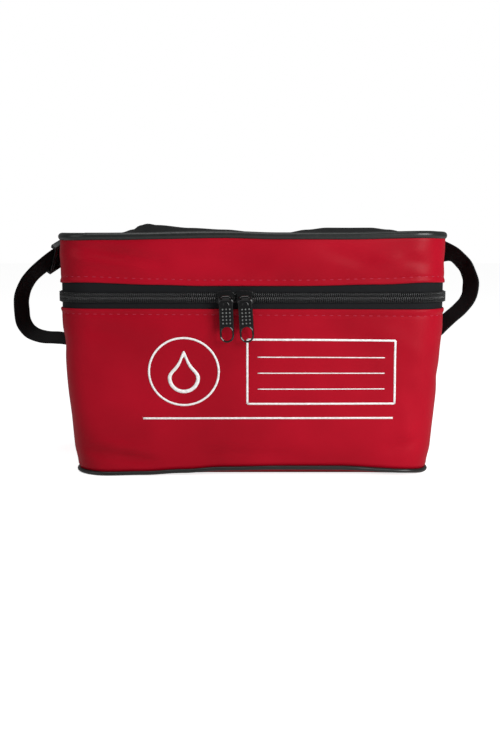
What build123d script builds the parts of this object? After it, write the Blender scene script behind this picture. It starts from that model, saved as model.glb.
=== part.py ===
from build123d import *
import os

os.makedirs("parts", exist_ok=True)

# A soft insulated bag with a zipped lift-up lid. X runs along the front, the front
# faces -Y, and the bag stands on z = 0 with the origin under its middle.

# ---------------------------------------------------------------- driving sizes, mm
base_width = 282.0
base_depth = 178.0
base_corner = 24.0
top_width = 300.0
top_depth = 190.0
top_corner = 26.0
taper_height = 118.0          # the wall leans outwards up to here and is upright above
split_height = 145.0          # the line on which lid and body part
lid_height = 47.8             # from the split to the middle of the lid's piping

fabric = 0.8                  # coated fabric
foam = 5.0                    # insulating foam
lining = 0.6
base_board = 2.0
binding = 0.8                 # tape folded over the raw edges at the mouth
binding_leg = 8.0             # how far the binding reaches down the lining

base_piping_radius = 2.0
lid_piping_radius = 3.1
lid_piping_stand_out = 0.6    # how far the lid's piping stands out past the skirt
piping_sides = 8              # flats round the soft cord inside the piping
seam_gap = 0.1                # between a piping and the fabrics it is sewn to

tape = 0.8                    # zip tape
tape_under_fabric = 7.0       # how far the tape runs on behind the fabric it is sewn to
tape_seen = 8.4               # half tape seen between the coil's middle and the fabric
zip_gap = 1.2                 # between the two halves of the zip
coil_height = 3.4
coil_depth = 2.6
coil_bevel = 1.0
hinge_width = 230.0           # fabric hinge along the middle of the back
hinge_gap = 0.3
hinge_stand_off = 0.2         # hinge axis behind the outermost face of the coil
end_tab_width = 8.0
end_tab_height = 7.8
end_tab_depth = 1.2

slider_length = 13.0
slider_nose_height = 11.4
slider_tail_height = 8.8
slider_tip_height = 7.8
slider_plate = 1.2
slider_clearance = 0.3
slider_corner = 1.0
slider_flange = 1.2
slider_flange_length = 8.0
wedge_length = 3.0
wedge_height = 0.8
wedge_set_back = 1.0          # from the plates' tip to the wedge
left_slider_x = -20.0
right_slider_x = -5.0
crown_thickness = 1.5         # the crown bar is square, with its corners inside the knuckle
crown_half_length = 4.6
crown_stand_off = 3.1         # from the front plate to the middle of the crown bar
crown_bend = 1.4

pull_length = 36.0            # from the crown bar to the pull's lower end
pull_width = 10.2
pull_neck_width = 6.4
pull_neck_drop = 9.0          # where the pull reaches its full width
pull_thickness = 1.6
pull_end_radius = 4.6
pull_rim = 1.1
pull_recess = 0.35
knuckle_radius = 2.1
knuckle_length = 5.6
knuckle_clearance = 0.2
pull_hole_width = 6.6
pull_hole_length = 10.6
pull_hole_rise = 1.6          # solid metal left under the hole
pull_dots = (3, 5)            # raised dots across and down the pull's face
pull_dot_pitch = 2.6
pull_dot_radius = 0.7

webbing_width = 25.0
webbing = 1.6                 # thickness of the webbing
patch_width = 36.0
patch_bottom = 68.0
patch_top = 102.0
patch = 0.8
strap_sewn_bottom = 74.0
strap_sewn_top = 94.0
strap_off_patch = 0.1

handle_hump_left = (-116.0, -93.0, -55.0)      # where the left hump starts, peaks, ends
handle_hump_left_rise = 7.0
handle_hump_right = (41.0, 66.0, 106.0, 133.0)
handle_hump_right_rise = 3.8

adjuster_place = (25.0, 21.0, 175.0)   # out from the bag's side, back, height
adjuster_run = (-0.52, 0.75, 0.40)     # the way the webbing runs through it
adjuster_twist = 14.0
adjuster_lead = 3.0                    # straight webbing before and after the adjuster
adjuster_length = 17.0
adjuster_rail = 3.4
adjuster_bar = 4.0
adjuster_bar_thickness = 1.5
adjuster_clearance = 0.35

# ---------------------------------------------------------------- heights and insets
tape_top_of_body = split_height - zip_gap / 2
tape_bottom_of_lid = split_height + zip_gap / 2
wall_top = split_height - zip_gap / 2 - tape_seen
skirt_bottom = split_height + zip_gap / 2 + tape_seen
lower_tape_bottom = wall_top - tape_under_fabric
upper_tape_top = skirt_bottom + tape_under_fabric
tape_back = fabric + tape                      # inset of the tape's inner face
foam_back = fabric + foam
lining_back = foam_back + lining
binding_back = lining_back + binding

board_bottom = fabric
base_foam_bottom = board_bottom + base_board
base_foam_top = base_foam_bottom + foam

lid_piping_height = split_height + lid_height
lid_piping_inset = lid_piping_radius - lid_piping_stand_out
piping_reach = lid_piping_radius + seam_gap
skirt_reach = lid_piping_inset - fabric
skirt_top = lid_piping_height - (piping_reach**2 - skirt_reach**2) ** 0.5
lid_panel_bottom = lid_piping_height
lid_panel_top = lid_panel_bottom + fabric
lid_panel_inset = lid_piping_inset + piping_reach
lid_foam_top = lid_panel_bottom
lid_foam_bottom = lid_foam_top - foam
side_foam_top = lid_piping_height - piping_reach
lid_hollow_top = lid_foam_bottom - lining

coil_face = coil_depth - fabric                # how far the coil stands out past the wall
hinge_y = top_depth / 2 + coil_face + hinge_stand_off


def plan_size(height, inset):
    """Width, depth and corner radius of the bag at a height, moved in by an inset."""
    share = min(height / taper_height, 1.0)
    width = base_width + (top_width - base_width) * share - 2 * inset
    depth = base_depth + (top_depth - base_depth) * share - 2 * inset
    corner = base_corner + (top_corner - base_corner) * share - inset
    return width, depth, corner


def core(inset, low, high):
    """All the space inside the bag's surface moved in by an inset, between two heights."""
    middle = [taper_height] if low < taper_height < high else []
    levels = [low, *middle, high]
    with BuildPart() as block:
        for below, above in zip(levels, levels[1:]):
            for level in (below, above):
                with BuildSketch(Plane.XY.offset(level)):
                    RectangleRounded(*plan_size(level, inset))
            loft(ruled=True)
    return block.part


def layer(outside, inside, low, high):
    """A ring of sheet material that follows the wall between two insets and heights."""
    outer = core(outside, low, high)
    inner = core(inside, low, high)
    with BuildPart() as ring:
        add(outer)
        add(inner, mode=Mode.SUBTRACT)
    return ring.part


def back_block(width):
    """A block over the middle of the back, used to part the zip from the hinge."""
    with BuildPart() as block:
        with Locations((0, top_depth / 2, split_height)):
            Box(width, top_depth / 2, split_height)
    return block.part


def wall_x(height):
    """Half the bag's outside width at a height."""
    return plan_size(height, 0)[0] / 2


# ---------------------------------------------------------------- body
wall_ring = layer(0, fabric, fabric, wall_top)
with BuildPart() as body_wall:
    add(wall_ring)

with BuildPart() as base_panel:
    with BuildSketch():
        RectangleRounded(*plan_size(0, 0))
    extrude(amount=fabric)

with BuildPart() as bottom_piping:
    piping_line = base_piping_radius + seam_gap
    width, depth, corner = plan_size(2 * base_piping_radius, -piping_line)
    piping_plane = Plane.XY.offset(piping_line + seam_gap)
    with BuildSketch(piping_plane) as piping_route:
        RectangleRounded(width, depth, corner)
    with BuildSketch(Plane.YZ) as piping_section:
        with Locations((-depth / 2, piping_line + seam_gap)):
            RegularPolygon(base_piping_radius, piping_sides)
    sweep(sections=piping_section.sketch, path=piping_route.sketch.face().outer_wire())

board_block = core(fabric, board_bottom, base_foam_bottom)
with BuildPart() as base_stiffener:
    add(board_block)

foam_slab = core(foam_back, base_foam_bottom, base_foam_top)
with BuildPart() as base_foam:
    add(foam_slab)

tape_ring = layer(fabric, tape_back, lower_tape_bottom, tape_top_of_body)
foam_ring = layer(fabric, foam_back, base_foam_bottom, wall_top)
with BuildPart() as wall_foam:
    add(foam_ring)
    add(tape_ring, mode=Mode.SUBTRACT)

lining_outside = core(foam_back, base_foam_top, wall_top)
lining_hollow = core(lining_back, base_foam_top + lining, wall_top)
with BuildPart() as body_lining:
    add(lining_outside)
    add(lining_hollow, mode=Mode.SUBTRACT)

body_binding_cap = layer(tape_back, binding_back, wall_top, wall_top + binding)
body_binding_leg = layer(lining_back, binding_back, wall_top - binding_leg, wall_top)
with BuildPart() as mouth_binding:
    add(body_binding_cap)
    add(body_binding_leg)

# ---------------------------------------------------------------- zip on the body
zip_parting = back_block(hinge_width)
coil_parting = back_block(hinge_width + end_tab_width)

with BuildPart() as lower_zip_tape:
    add(tape_ring)
    add(zip_parting, mode=Mode.SUBTRACT)


def zip_coil(low):
    """Half of the coil: a bevelled bead on the tape, open where the hinge is."""
    ring = layer(-coil_face, fabric, low, low + coil_height)
    with BuildPart() as coil:
        add(ring)
        rims = coil.faces().filter_by(Axis.Z).edges()
        chamfer(rims.group_by(SortBy.LENGTH)[-1], coil_bevel)
        add(coil_parting, mode=Mode.SUBTRACT)
    return coil.part


lower_zip_coil = zip_coil(tape_top_of_body - coil_height)

lower_hinge_ring = layer(fabric, tape_back, lower_tape_bottom, split_height - hinge_gap / 2)
with BuildPart() as hinge_strip_lower:
    add(lower_hinge_ring)
    add(zip_parting, mode=Mode.INTERSECT)


def zip_end_tab(side):
    """A folded tab sewn over the zip's end at one side of the hinge."""
    with BuildPart() as tab:
        with Locations(
            (
                side * hinge_width / 2,
                top_depth / 2 - fabric + end_tab_depth / 2,
                wall_top + (tape_top_of_body - wall_top) / 2,
            )
        ):
            Box(end_tab_width, end_tab_depth, end_tab_height)
        outer = tab.faces().sort_by(Axis.Y)[-1].edges().filter_by(Axis.Z)
        fillet(outer, end_tab_depth / 2)
    return tab.part


zip_end_tab_left = zip_end_tab(-1)
zip_end_tab_right = zip_end_tab(1)

# ---------------------------------------------------------------- lid
skirt_ring = layer(0, fabric, skirt_bottom, skirt_top)
with BuildPart() as lid_skirt:
    add(skirt_ring)

with BuildPart() as lid_panel:
    with BuildSketch(Plane.XY.offset(lid_panel_bottom)):
        RectangleRounded(*plan_size(lid_panel_bottom, lid_panel_inset))
    extrude(amount=fabric)

with BuildPart() as top_piping:
    width, depth, corner = plan_size(lid_piping_height, lid_piping_inset)
    with BuildSketch(Plane.XY.offset(lid_piping_height)) as lid_piping_route:
        RectangleRounded(width, depth, corner)
    with BuildSketch(Plane.YZ) as lid_piping_section:
        with Locations((-depth / 2, lid_piping_height)):
            RegularPolygon(lid_piping_radius, piping_sides)
    sweep(sections=lid_piping_section.sketch, path=lid_piping_route.sketch.face().outer_wire())

upper_tape_ring = layer(fabric, tape_back, tape_bottom_of_lid, upper_tape_top)
side_foam_ring = layer(fabric, foam_back, skirt_bottom, side_foam_top)
with BuildPart() as lid_side_foam:
    add(side_foam_ring)
    add(upper_tape_ring, mode=Mode.SUBTRACT)

top_foam_slab = core(foam_back, lid_foam_bottom, lid_foam_top)
with BuildPart() as lid_top_foam:
    add(top_foam_slab)

lid_lining_outside = core(foam_back, skirt_bottom, lid_foam_bottom)
lid_lining_hollow = core(lining_back, skirt_bottom, lid_hollow_top)
with BuildPart() as lid_lining:
    add(lid_lining_outside)
    add(lid_lining_hollow, mode=Mode.SUBTRACT)

lid_binding_cap = layer(tape_back, binding_back, skirt_bottom - binding, skirt_bottom)
lid_binding_leg = layer(lining_back, binding_back, skirt_bottom, skirt_bottom + binding_leg)
with BuildPart() as lid_binding:
    add(lid_binding_cap)
    add(lid_binding_leg)

with BuildPart() as upper_zip_tape:
    add(upper_tape_ring)
    add(zip_parting, mode=Mode.SUBTRACT)

upper_zip_coil = zip_coil(tape_bottom_of_lid)

upper_hinge_ring = layer(fabric, tape_back, split_height + hinge_gap / 2, upper_tape_top)
with BuildPart() as hinge_strip_upper:
    add(upper_hinge_ring)
    add(zip_parting, mode=Mode.INTERSECT)

# webbing across the lid, caught in the piping's seam at both ends, lying slack
handle_end = plan_size(lid_panel_bottom, lid_panel_inset)[0] / 2
with BuildPart() as grab_handle:
    with BuildSketch(Plane.XZ):
        with BuildLine():
            left_in, left_peak, left_out = handle_hump_left
            right_in, right_peak, right_fall, right_out = handle_hump_right
            for lift in (lid_panel_top, lid_panel_top + webbing):
                Line((-handle_end, lift), (left_in, lift))
                Spline(
                    (left_in, lift),
                    (left_peak, lift + handle_hump_left_rise),
                    (left_out, lift),
                    tangents=((1, 0), (1, 0)),
                )
                Line((left_out, lift), (right_in, lift))
                Spline(
                    (right_in, lift),
                    (right_peak, lift + handle_hump_right_rise),
                    (right_fall, lift + handle_hump_right_rise),
                    (right_out, lift),
                    tangents=((1, 0), (1, 0)),
                )
                Line((right_out, lift), (handle_end, lift))
            for side in (-handle_end, handle_end):
                Line((side, lid_panel_top), (side, lid_panel_top + webbing))
        make_face()
    extrude(amount=webbing_width / 2, both=True)

# ---------------------------------------------------------------- sliders and pulls
front_face = -top_depth / 2
plate_back = front_face - coil_face - slider_clearance
plate_front = plate_back - slider_plate
inner_plate_front = front_face + tape_back + slider_clearance
crown_y = plate_front - crown_stand_off
flange_top = tape_top_of_body - coil_height - slider_clearance


def zip_slider(centre, nose):
    """A slider: two boat-shaped plates joined by a wedge, a lower flange and a crown bar."""
    with BuildPart() as slider:
        for face in (plate_front, inner_plate_front):
            plane = Plane((centre, face, split_height), x_dir=(1, 0, 0), z_dir=(0, -1, 0))
            with BuildSketch(plane):
                with BuildLine():
                    Polyline(
                        (nose * slider_length / 2, -slider_tip_height / 2),
                        (nose * slider_length / 4, -slider_nose_height / 2),
                        (-nose * slider_length / 2, -slider_tail_height / 2),
                        (-nose * slider_length / 2, slider_tail_height / 2),
                        (nose * slider_length / 4, slider_nose_height / 2),
                        (nose * slider_length / 2, slider_tip_height / 2),
                        close=True,
                    )
                make_face()
            extrude(amount=-slider_plate)
        plate_edges = slider.edges().filter_by(Axis.Y)
        fillet(plate_edges, slider_corner)
        with Locations(
            (
                centre + nose * (slider_length / 2 - wedge_set_back - wedge_length / 2),
                (plate_back + inner_plate_front) / 2,
                split_height,
            )
        ):
            Box(wedge_length, inner_plate_front - plate_back, wedge_height)
        flange_back = front_face + fabric - slider_clearance
        with Locations((centre, (plate_back + flange_back) / 2, flange_top - slider_flange / 2)):
            Box(slider_flange_length, flange_back - plate_back, slider_flange)
        with BuildSketch(Plane.XY.offset(split_height - crown_thickness / 2)):
            with BuildLine():
                FilletPolyline(
                    (centre - crown_half_length, plate_front),
                    (centre - crown_half_length, crown_y),
                    (centre + crown_half_length, crown_y),
                    (centre + crown_half_length, plate_front),
                    radius=crown_bend,
                )
            trace(line_width=crown_thickness)
        extrude(amount=crown_thickness)
    return slider.part


def slider_pull(centre):
    """A pull: a rolled knuckle round the crown bar and a plate with a rim and a hole."""
    half = pull_width / 2
    neck = pull_neck_width / 2
    shoulder = -pull_neck_drop / 2
    plane = Plane((centre, crown_y, split_height), x_dir=(1, 0, 0), z_dir=(0, -1, 0))
    bore_plane = Plane((centre, crown_y, split_height), z_dir=(1, 0, 0))
    hole_centre = -pull_length + pull_hole_rise + pull_hole_length / 2
    recess_top = -pull_neck_drop
    recess_bottom = hole_centre + pull_hole_length / 2 + pull_rim
    with BuildPart() as pull:
        with BuildSketch(plane) as outline:
            with BuildLine():
                Polyline(
                    (neck, 0),
                    (neck, shoulder),
                    (half, -pull_neck_drop),
                    (half, -pull_length),
                    (-half, -pull_length),
                    (-half, -pull_neck_drop),
                    (-neck, shoulder),
                    (-neck, 0),
                    close=True,
                )
            make_face()
            fillet(outline.vertices().group_by(Axis.Y)[0], pull_end_radius)
        extrude(amount=pull_thickness / 2, both=True)
        with BuildSketch(plane.offset(pull_thickness / 2)):
            with Locations((0, (recess_top + recess_bottom) / 2)):
                RectangleRounded(
                    pull_width - 2 * pull_rim, recess_top - recess_bottom, pull_rim
                )
        extrude(amount=-pull_recess, mode=Mode.SUBTRACT)
        with BuildSketch(plane.offset(pull_thickness / 2 - pull_recess)):
            with Locations((0, (recess_top + recess_bottom) / 2)):
                with GridLocations(pull_dot_pitch, pull_dot_pitch, *pull_dots):
                    RegularPolygon(pull_dot_radius, 6)
        extrude(amount=pull_recess)
        with BuildSketch(bore_plane):
            Circle(knuckle_radius)
        extrude(amount=knuckle_length / 2, both=True)
        with BuildSketch(bore_plane):
            Circle(crown_thickness * 2**0.5 / 2 + knuckle_clearance)
        extrude(amount=pull_width, both=True, mode=Mode.SUBTRACT)
        with BuildSketch(plane):
            with Locations((0, hole_centre)):
                SlotOverall(pull_hole_length, pull_hole_width, rotation=90)
        extrude(amount=pull_thickness, both=True, mode=Mode.SUBTRACT)
    return pull.part


left_slider = zip_slider(left_slider_x, 1)
right_slider = zip_slider(right_slider_x, -1)
left_pull = slider_pull(left_slider_x)
right_pull = slider_pull(right_slider_x)

# ---------------------------------------------------------------- shoulder strap


def strap_patch(side):
    """A square of doubled fabric on the side wall, under the strap's sewn end."""
    with BuildPart() as square:
        add(patch_ring)
        with Locations((side * top_width / 2, 0, (patch_bottom + patch_top) / 2)):
            Box(top_corner, patch_width, patch_top - patch_bottom, mode=Mode.INTERSECT)
    return square.part


patch_ring = layer(-patch, 0, patch_bottom - patch, patch_top + patch)
strap_patch_left = strap_patch(-1)
strap_patch_right = strap_patch(1)


def sewn_out(height):
    """How far out the middle of the webbing lies where it is sewn to the patch."""
    return wall_x(height) - top_width / 2 + patch + strap_off_patch + webbing / 2


def section_planes(side, route):
    """Planes square to the webbing. A route's stations give how far out from the bag's
    side, how far back and how high the webbing's middle is, and its twist in degrees."""
    places = [Vector(out, back, height) for out, back, height, twist in route]
    width_run = Vector(0, -1, 0)
    planes = []
    for index, (place, station) in enumerate(zip(places, route)):
        before = places[index - 1] if index else place * 2 - places[1]
        after = places[index + 1] if index + 1 < len(places) else place * 2 - before
        along = (
            (after - place).normalized() + (place - before).normalized()
        ).normalized()
        width_run = (width_run - along * width_run.dot(along)).normalized()
        twisted = width_run.rotate(Axis((0, 0, 0), tuple(along)), station[3])
        planes.append(
            Plane(
                (side * (top_width / 2 + place.X), place.Y, place.Z),
                x_dir=(side * twisted.X, twisted.Y, twisted.Z),
                z_dir=(side * along.X, along.Y, along.Z),
            )
        )
    return planes


def ribbon(planes):
    """Flat webbing through sections on the given planes."""
    with BuildPart() as strap:
        for plane in planes:
            with BuildSketch(plane):
                Rectangle(webbing_width, webbing)
        loft(ruled=True)
    return strap.part


# stations of the webbing: out from the side, back, height, twist
sewn_end = [(sewn_out(height), 0, height, 0) for height in (strap_sewn_bottom, strap_sewn_top)]
left_loop = [
    (4.0, 0, 98.0, 8), (9.0, 0, 101.5, 14), (20.0, 0, 103.5, 18), (34.0, 0, 104.5, 18),
    (45.0, 0, 108.5, 18), (51.5, 0, 117.0, 18), (53.0, 0, 128.0, 18), (53.0, 1, 139.5, 18),
    (49.0, 3, 151.0, 16), (42.0, 6, 160.5, 14),
]
right_loop = [
    (4.0, 0, 103.0, 8), (12.0, 0, 111.5, 16), (22.0, 0, 120.5, 18), (32.0, 0, 129.0, 18),
    (39.5, 0, 138.0, 18), (42.5, 3, 149.0, 18), (40.5, 8, 162.0, 14), (34.5, 15, 172.0, 10),
    (26.0, 24, 179.0, 6),
]
behind_left = [
    (13.0, 41, 179.0, 24), (9.5, 52, 173.0, 42), (8.2, 62, 160.5, 60), (7.6, 73, 143.0, 72),
    (7.5, 86, 122.0, 80), (7.0, 98, 101.0, 80), (3.5, 108, 84.0, 74), (-6.0, 115, 73.0, 64),
    (-22.0, 116, 65.0, 50), (-45.0, 111.5, 59.0, 34), (-80.0, 106, 55.0, 16),
    (-120.0, 103, 53.5, 6),
]
behind_right = [
    (17.0, 34, 180.0, 10), (11.0, 46, 176.0, 24), (8.2, 58, 165.5, 42), (7.6, 71, 147.0, 56),
    (7.5, 85, 123.0, 62), (7.0, 98, 101.0, 62), (3.5, 108, 84.0, 56), (-6.0, 115, 73.0, 46),
    (-22.0, 116, 65.0, 32), (-45.0, 111.5, 59.0, 16), (-80.0, 106, 55.0, -2),
    (-120.0, 103, 53.5, -12),
]

# the straight run through the adjuster at the top of the left loop
adjuster_rise = Vector(*adjuster_run).normalized()
run_half = adjuster_length / 2 + adjuster_clearance
straight_run = []
for distance in (-run_half - adjuster_lead, -run_half, 0, run_half, run_half + adjuster_lead):
    place = Vector(*adjuster_place) + adjuster_rise * distance
    straight_run.append((place.X, place.Y, place.Z, adjuster_twist))

threaded = len(sewn_end + left_loop) + len(straight_run) // 2
left_planes = section_planes(-1, sewn_end + left_loop + straight_run + behind_left)
right_planes = section_planes(1, sewn_end + right_loop + behind_right)
homeward = [
    Plane(plane.origin, x_dir=plane.x_dir, z_dir=-plane.z_dir) for plane in right_planes[::-1]
]
shoulder_strap_short = ribbon(left_planes[: threaded + 1])
shoulder_strap_long = ribbon(left_planes[threaded:] + homeward)

# the adjuster: two side rails, end bars under the webbing and a middle bar over it
adjuster_middle = left_planes[threaded]
adjuster_along = adjuster_middle.z_dir
adjuster_face = adjuster_middle.x_dir.cross(adjuster_along)
adjuster_plane = Plane(adjuster_middle.origin, x_dir=adjuster_middle.x_dir, z_dir=adjuster_face)
rail_x = webbing_width / 2 + adjuster_clearance + adjuster_rail / 2
bar_low = webbing / 2 + adjuster_clearance
rail_height = 2 * (bar_low + adjuster_bar_thickness)
with BuildPart() as strap_adjuster:
    with BuildSketch(adjuster_plane.offset(-rail_height / 2)):
        with Locations((-rail_x, 0), (rail_x, 0)):
            RectangleRounded(adjuster_rail, adjuster_length, adjuster_rail / 2 - seam_gap)
    extrude(amount=rail_height)
    end_bar_y = (adjuster_length - adjuster_bar) / 2 - adjuster_rail / 4
    with BuildSketch(adjuster_plane.offset(-rail_height / 2)):
        with Locations((0, -end_bar_y), (0, end_bar_y)):
            Rectangle(2 * rail_x, adjuster_bar)
    extrude(amount=adjuster_bar_thickness)
    with BuildSketch(adjuster_plane.offset(bar_low)):
        Rectangle(2 * rail_x, adjuster_bar)
    extrude(amount=adjuster_bar_thickness)

pieces = {
    "body_wall": body_wall.part,
    "base_panel": base_panel.part,
    "bottom_piping": bottom_piping.part,
    "base_stiffener": base_stiffener.part,
    "base_foam": base_foam.part,
    "wall_foam": wall_foam.part,
    "body_lining": body_lining.part,
    "mouth_binding": mouth_binding.part,
    "lower_zip_tape": lower_zip_tape.part,
    "lower_zip_coil": lower_zip_coil,
    "hinge_strip_lower": hinge_strip_lower.part,
    "zip_end_tab_left": zip_end_tab_left,
    "zip_end_tab_right": zip_end_tab_right,
    "strap_patch_left": strap_patch_left,
    "strap_patch_right": strap_patch_right,
    "shoulder_strap_short": shoulder_strap_short,
    "shoulder_strap_long": shoulder_strap_long,
    "strap_adjuster": strap_adjuster.part,
    "lid_skirt": lid_skirt.part,
    "lid_panel": lid_panel.part,
    "top_piping": top_piping.part,
    "lid_side_foam": lid_side_foam.part,
    "lid_top_foam": lid_top_foam.part,
    "lid_lining": lid_lining.part,
    "lid_binding": lid_binding.part,
    "upper_zip_tape": upper_zip_tape.part,
    "upper_zip_coil": upper_zip_coil,
    "hinge_strip_upper": hinge_strip_upper.part,
    "grab_handle": grab_handle.part,
    "left_slider": left_slider,
    "right_slider": right_slider,
    "left_pull": left_pull,
    "right_pull": right_pull,
}
for name, piece in pieces.items():
    piece.label = name
    export_step(piece, f"parts/{name}.step")
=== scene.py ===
"""Looks of a soft insulated bag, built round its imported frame. Metres; the front faces -Y."""

import math

import bmesh
import bpy
from bpy.props import FloatProperty, PointerProperty, StringProperty
from mathutils import Matrix, Vector, noise


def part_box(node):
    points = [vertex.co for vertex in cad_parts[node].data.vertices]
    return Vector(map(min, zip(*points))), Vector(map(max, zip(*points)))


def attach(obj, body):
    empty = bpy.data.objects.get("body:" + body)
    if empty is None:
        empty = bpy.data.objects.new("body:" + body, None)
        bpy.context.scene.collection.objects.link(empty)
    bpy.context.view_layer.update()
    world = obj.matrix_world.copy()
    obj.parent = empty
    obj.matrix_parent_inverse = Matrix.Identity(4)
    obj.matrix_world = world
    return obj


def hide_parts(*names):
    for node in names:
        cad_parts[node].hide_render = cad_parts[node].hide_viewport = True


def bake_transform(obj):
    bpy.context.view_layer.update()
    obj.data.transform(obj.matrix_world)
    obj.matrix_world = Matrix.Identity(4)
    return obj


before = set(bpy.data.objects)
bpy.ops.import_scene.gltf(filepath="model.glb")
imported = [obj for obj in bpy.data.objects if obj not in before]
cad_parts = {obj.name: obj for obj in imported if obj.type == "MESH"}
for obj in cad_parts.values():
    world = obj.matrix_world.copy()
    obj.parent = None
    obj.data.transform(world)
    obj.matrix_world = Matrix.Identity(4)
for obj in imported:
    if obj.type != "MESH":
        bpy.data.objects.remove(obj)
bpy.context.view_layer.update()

bl_info = {
    "name": "Insulated Bag",
    "version": (1, 0, 0),
    "blender": (4, 5, 0),
    "location": "View3D > Sidebar > Insulated Bag",
    "description": "Sews a soft insulated bag with a zipped lid round its packed frame",
    "category": "Add Mesh",
}

MM = 0.001
UP = Vector((0, 0, 1))
# stations round the bag lie this far apart on its straight runs
SPACING = 4 * MM
# a wave texture of scale 1 has a band every tenth of pi
BAND = math.pi / 10
# a weave's gaps lie in shade and its ribs catch the light
GAP_SHADE, RIB_SHADE = 0.45, 1.5
# the creases' measured depths show through the padding at this rate
CREASE_GAIN = 1.7


def length_value(name, description, size):
    """A length that a user may change, its default given in mm."""
    return FloatProperty(name=name, description=description, default=size * MM, unit="LENGTH", precision=5)


def colour_value(name, description, default):
    """A colour written as sRGB hex."""
    return StringProperty(name=name, description=description, default=default)


# sizes and colours


class BagShape(bpy.types.PropertyGroup):
    """The cut of the bag's walls."""

    base_width: length_value("Base width", "Width at the base seam", 282)
    base_depth: length_value("Base depth", "Depth at the base seam", 178)
    base_corner: length_value("Base corner", "Corner radius at the base", 24)
    top_width: length_value("Top width", "Width from the taper's end up", 300)
    top_depth: length_value("Top depth", "Depth from the taper's end up", 190)
    top_corner: length_value("Top corner", "Corner radius at the top", 26)
    taper: length_value("Taper", "Height at which the wall turns upright", 118)
    split: length_value("Split", "Height at which lid and body part", 145)
    wall_top: length_value("Wall top", "Folded edge of the body's fabric", 136)
    skirt_bottom: length_value("Skirt bottom", "Folded edge of the lid's fabric", 154)
    lid_top: length_value("Lid top", "Middle of the lid's piping", 192.8)
    fabric: length_value("Fabric", "Thickness of the coated fabric", 0.8)
    foam: length_value("Foam", "Thickness of the insulating foam", 5)
    lining: length_value("Lining", "Thickness of the lining", 0.6)
    base_piping: length_value("Base piping", "Radius of the base's piping", 1.7)
    lid_piping: length_value("Lid piping", "Radius of the lid's piping", 3.1)
    end_swell: length_value("End swell", "How far the padded ends stand out of the cut", 4.8)


class ZipSizes(bpy.types.PropertyGroup):
    """The zip with its coil, sliders and pulls."""

    tape: length_value("Tape", "Thickness of the zip tape", 0.8)
    tape_reach: length_value("Tape reach", "How far the tape runs behind the fabric", 7)
    half_gap: length_value("Half gap", "From the split to a tape's edge", 0.6)
    half_hinge: length_value("Half hinge", "Half the width of the fabric hinge", 115)
    pitch: length_value("Coil pitch", "From one turn of the coil to the next", 1.5)
    filament: length_value("Filament", "Radius of the coil's filament", 0.4)
    coil_low: length_value("Coil root", "From the split to the coil's root", 3.7)
    coil_head: length_value("Coil head", "How far the turns reach past the split", 0.5)
    coil_out: length_value("Coil stand-out", "How far the coil stands out of the wall", 1.4)
    left_slider: length_value("Left slider", "Middle of the left slider", -21)
    right_slider: length_value("Right slider", "Middle of the right slider", -6)
    crown: length_value("Crown", "How far forward the crown bar's middle lies", 101.4)
    pull_length: length_value("Pull length", "From the crown bar to the pull's end", 34.8)
    pull_width: length_value("Pull width", "Width of the pull", 11.0)


class StrapSizes(bpy.types.PropertyGroup):
    """Webbing and thread."""

    width: length_value("Webbing width", "Width of the webbing", 25)
    thickness: length_value("Webbing thickness", "Thickness of the webbing", 1.6)
    stitch_pitch: length_value("Stitch pitch", "From one stitch to the next", 6)
    stitch_length: length_value("Stitch length", "Length of a stitch", 3.2)
    thread: length_value("Thread", "Radius of the sewing thread", 0.22)
    stitch_row: length_value("Stitch row", "From a folded edge to its row of stitches", 4.6)


class BagColours(bpy.types.PropertyGroup):
    """Colours, as sRGB hex."""

    red: colour_value("Fabric", "Coated nylon", "#AC0922")
    red_deep: colour_value("Fabric, worn deep", "Coated nylon where it lies slack", "#93061A")
    piping: colour_value("Piping", "Extruded vinyl", "#191C1B")
    tape: colour_value("Zip tape", "Woven polyester", "#121315")
    coil: colour_value("Coil", "Nylon filament", "#141516")
    webbing: colour_value("Webbing", "Polypropylene", "#0B0C0D")
    enamel: colour_value("Enamel", "Stoved enamel on zinc", "#08090A")
    # the raised dots' light grey is a painted highlight
    dot_highlight: colour_value("Painted dot highlight", "Light grey painted on the raised dots as their highlight", "#6A6C6B")
    acetal: colour_value("Acetal", "Moulded adjuster", "#17191A")
    thread_red: colour_value("Red thread", "Polyester thread on the fabric", "#B92A48")
    thread_black: colour_value("Black thread", "Polyester thread on the webbing", "#1D1F21")
    lining: colour_value("Lining", "Wipe-clean lining", "#B9BDC0")
    foam: colour_value("Foam", "Closed-cell foam", "#E6E7E3")
    board: colour_value("Board", "Polypropylene sheet", "#3A3C3E")
    ink: colour_value("Ink", "Screen-printing ink", "#F4F3F1")


# materials


def linear(hex_colour):
    """An sRGB hex colour as linear RGBA."""
    parts = [int(hex_colour[i : i + 2], 16) / 255 for i in (1, 3, 5)]
    flat = [p / 12.92 if p <= 0.04045 else ((p + 0.055) / 1.055) ** 2.4 for p in parts]
    return (*flat, 1.0)


def add_node(tree, kind, settings=None, links=None):
    """Adds a node, sets its attributes and input values, and links its inputs."""
    node = tree.nodes.new(kind)
    for key, value in (settings or {}).items():
        if isinstance(key, int) or key in node.inputs:
            node.inputs[key].default_value = value
        else:
            setattr(node, key, value)
    for key, socket in (links or {}).items():
        tree.links.new(socket, node.inputs[key])
    return node


def new_material(name):
    """An empty material and its tree."""
    material = bpy.data.materials.new(name)
    material.use_nodes = True
    material.node_tree.nodes.clear()
    return material, material.node_tree


def finish_material(tree, shader):
    """Links a shader to the material's output."""
    add_node(tree, "ShaderNodeOutputMaterial", links={"Surface": shader.outputs[0]})


def two_tone(tree, source, low, high, first, second):
    """A linear colour that goes from the first to the second as a pattern goes from low to high."""
    ramp = add_node(tree, "ShaderNodeValToRGB", links={0: source})
    for element, position, colour in zip(ramp.color_ramp.elements, (low, high), (first, second)):
        element.position, element.color = position, colour
    return ramp


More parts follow.
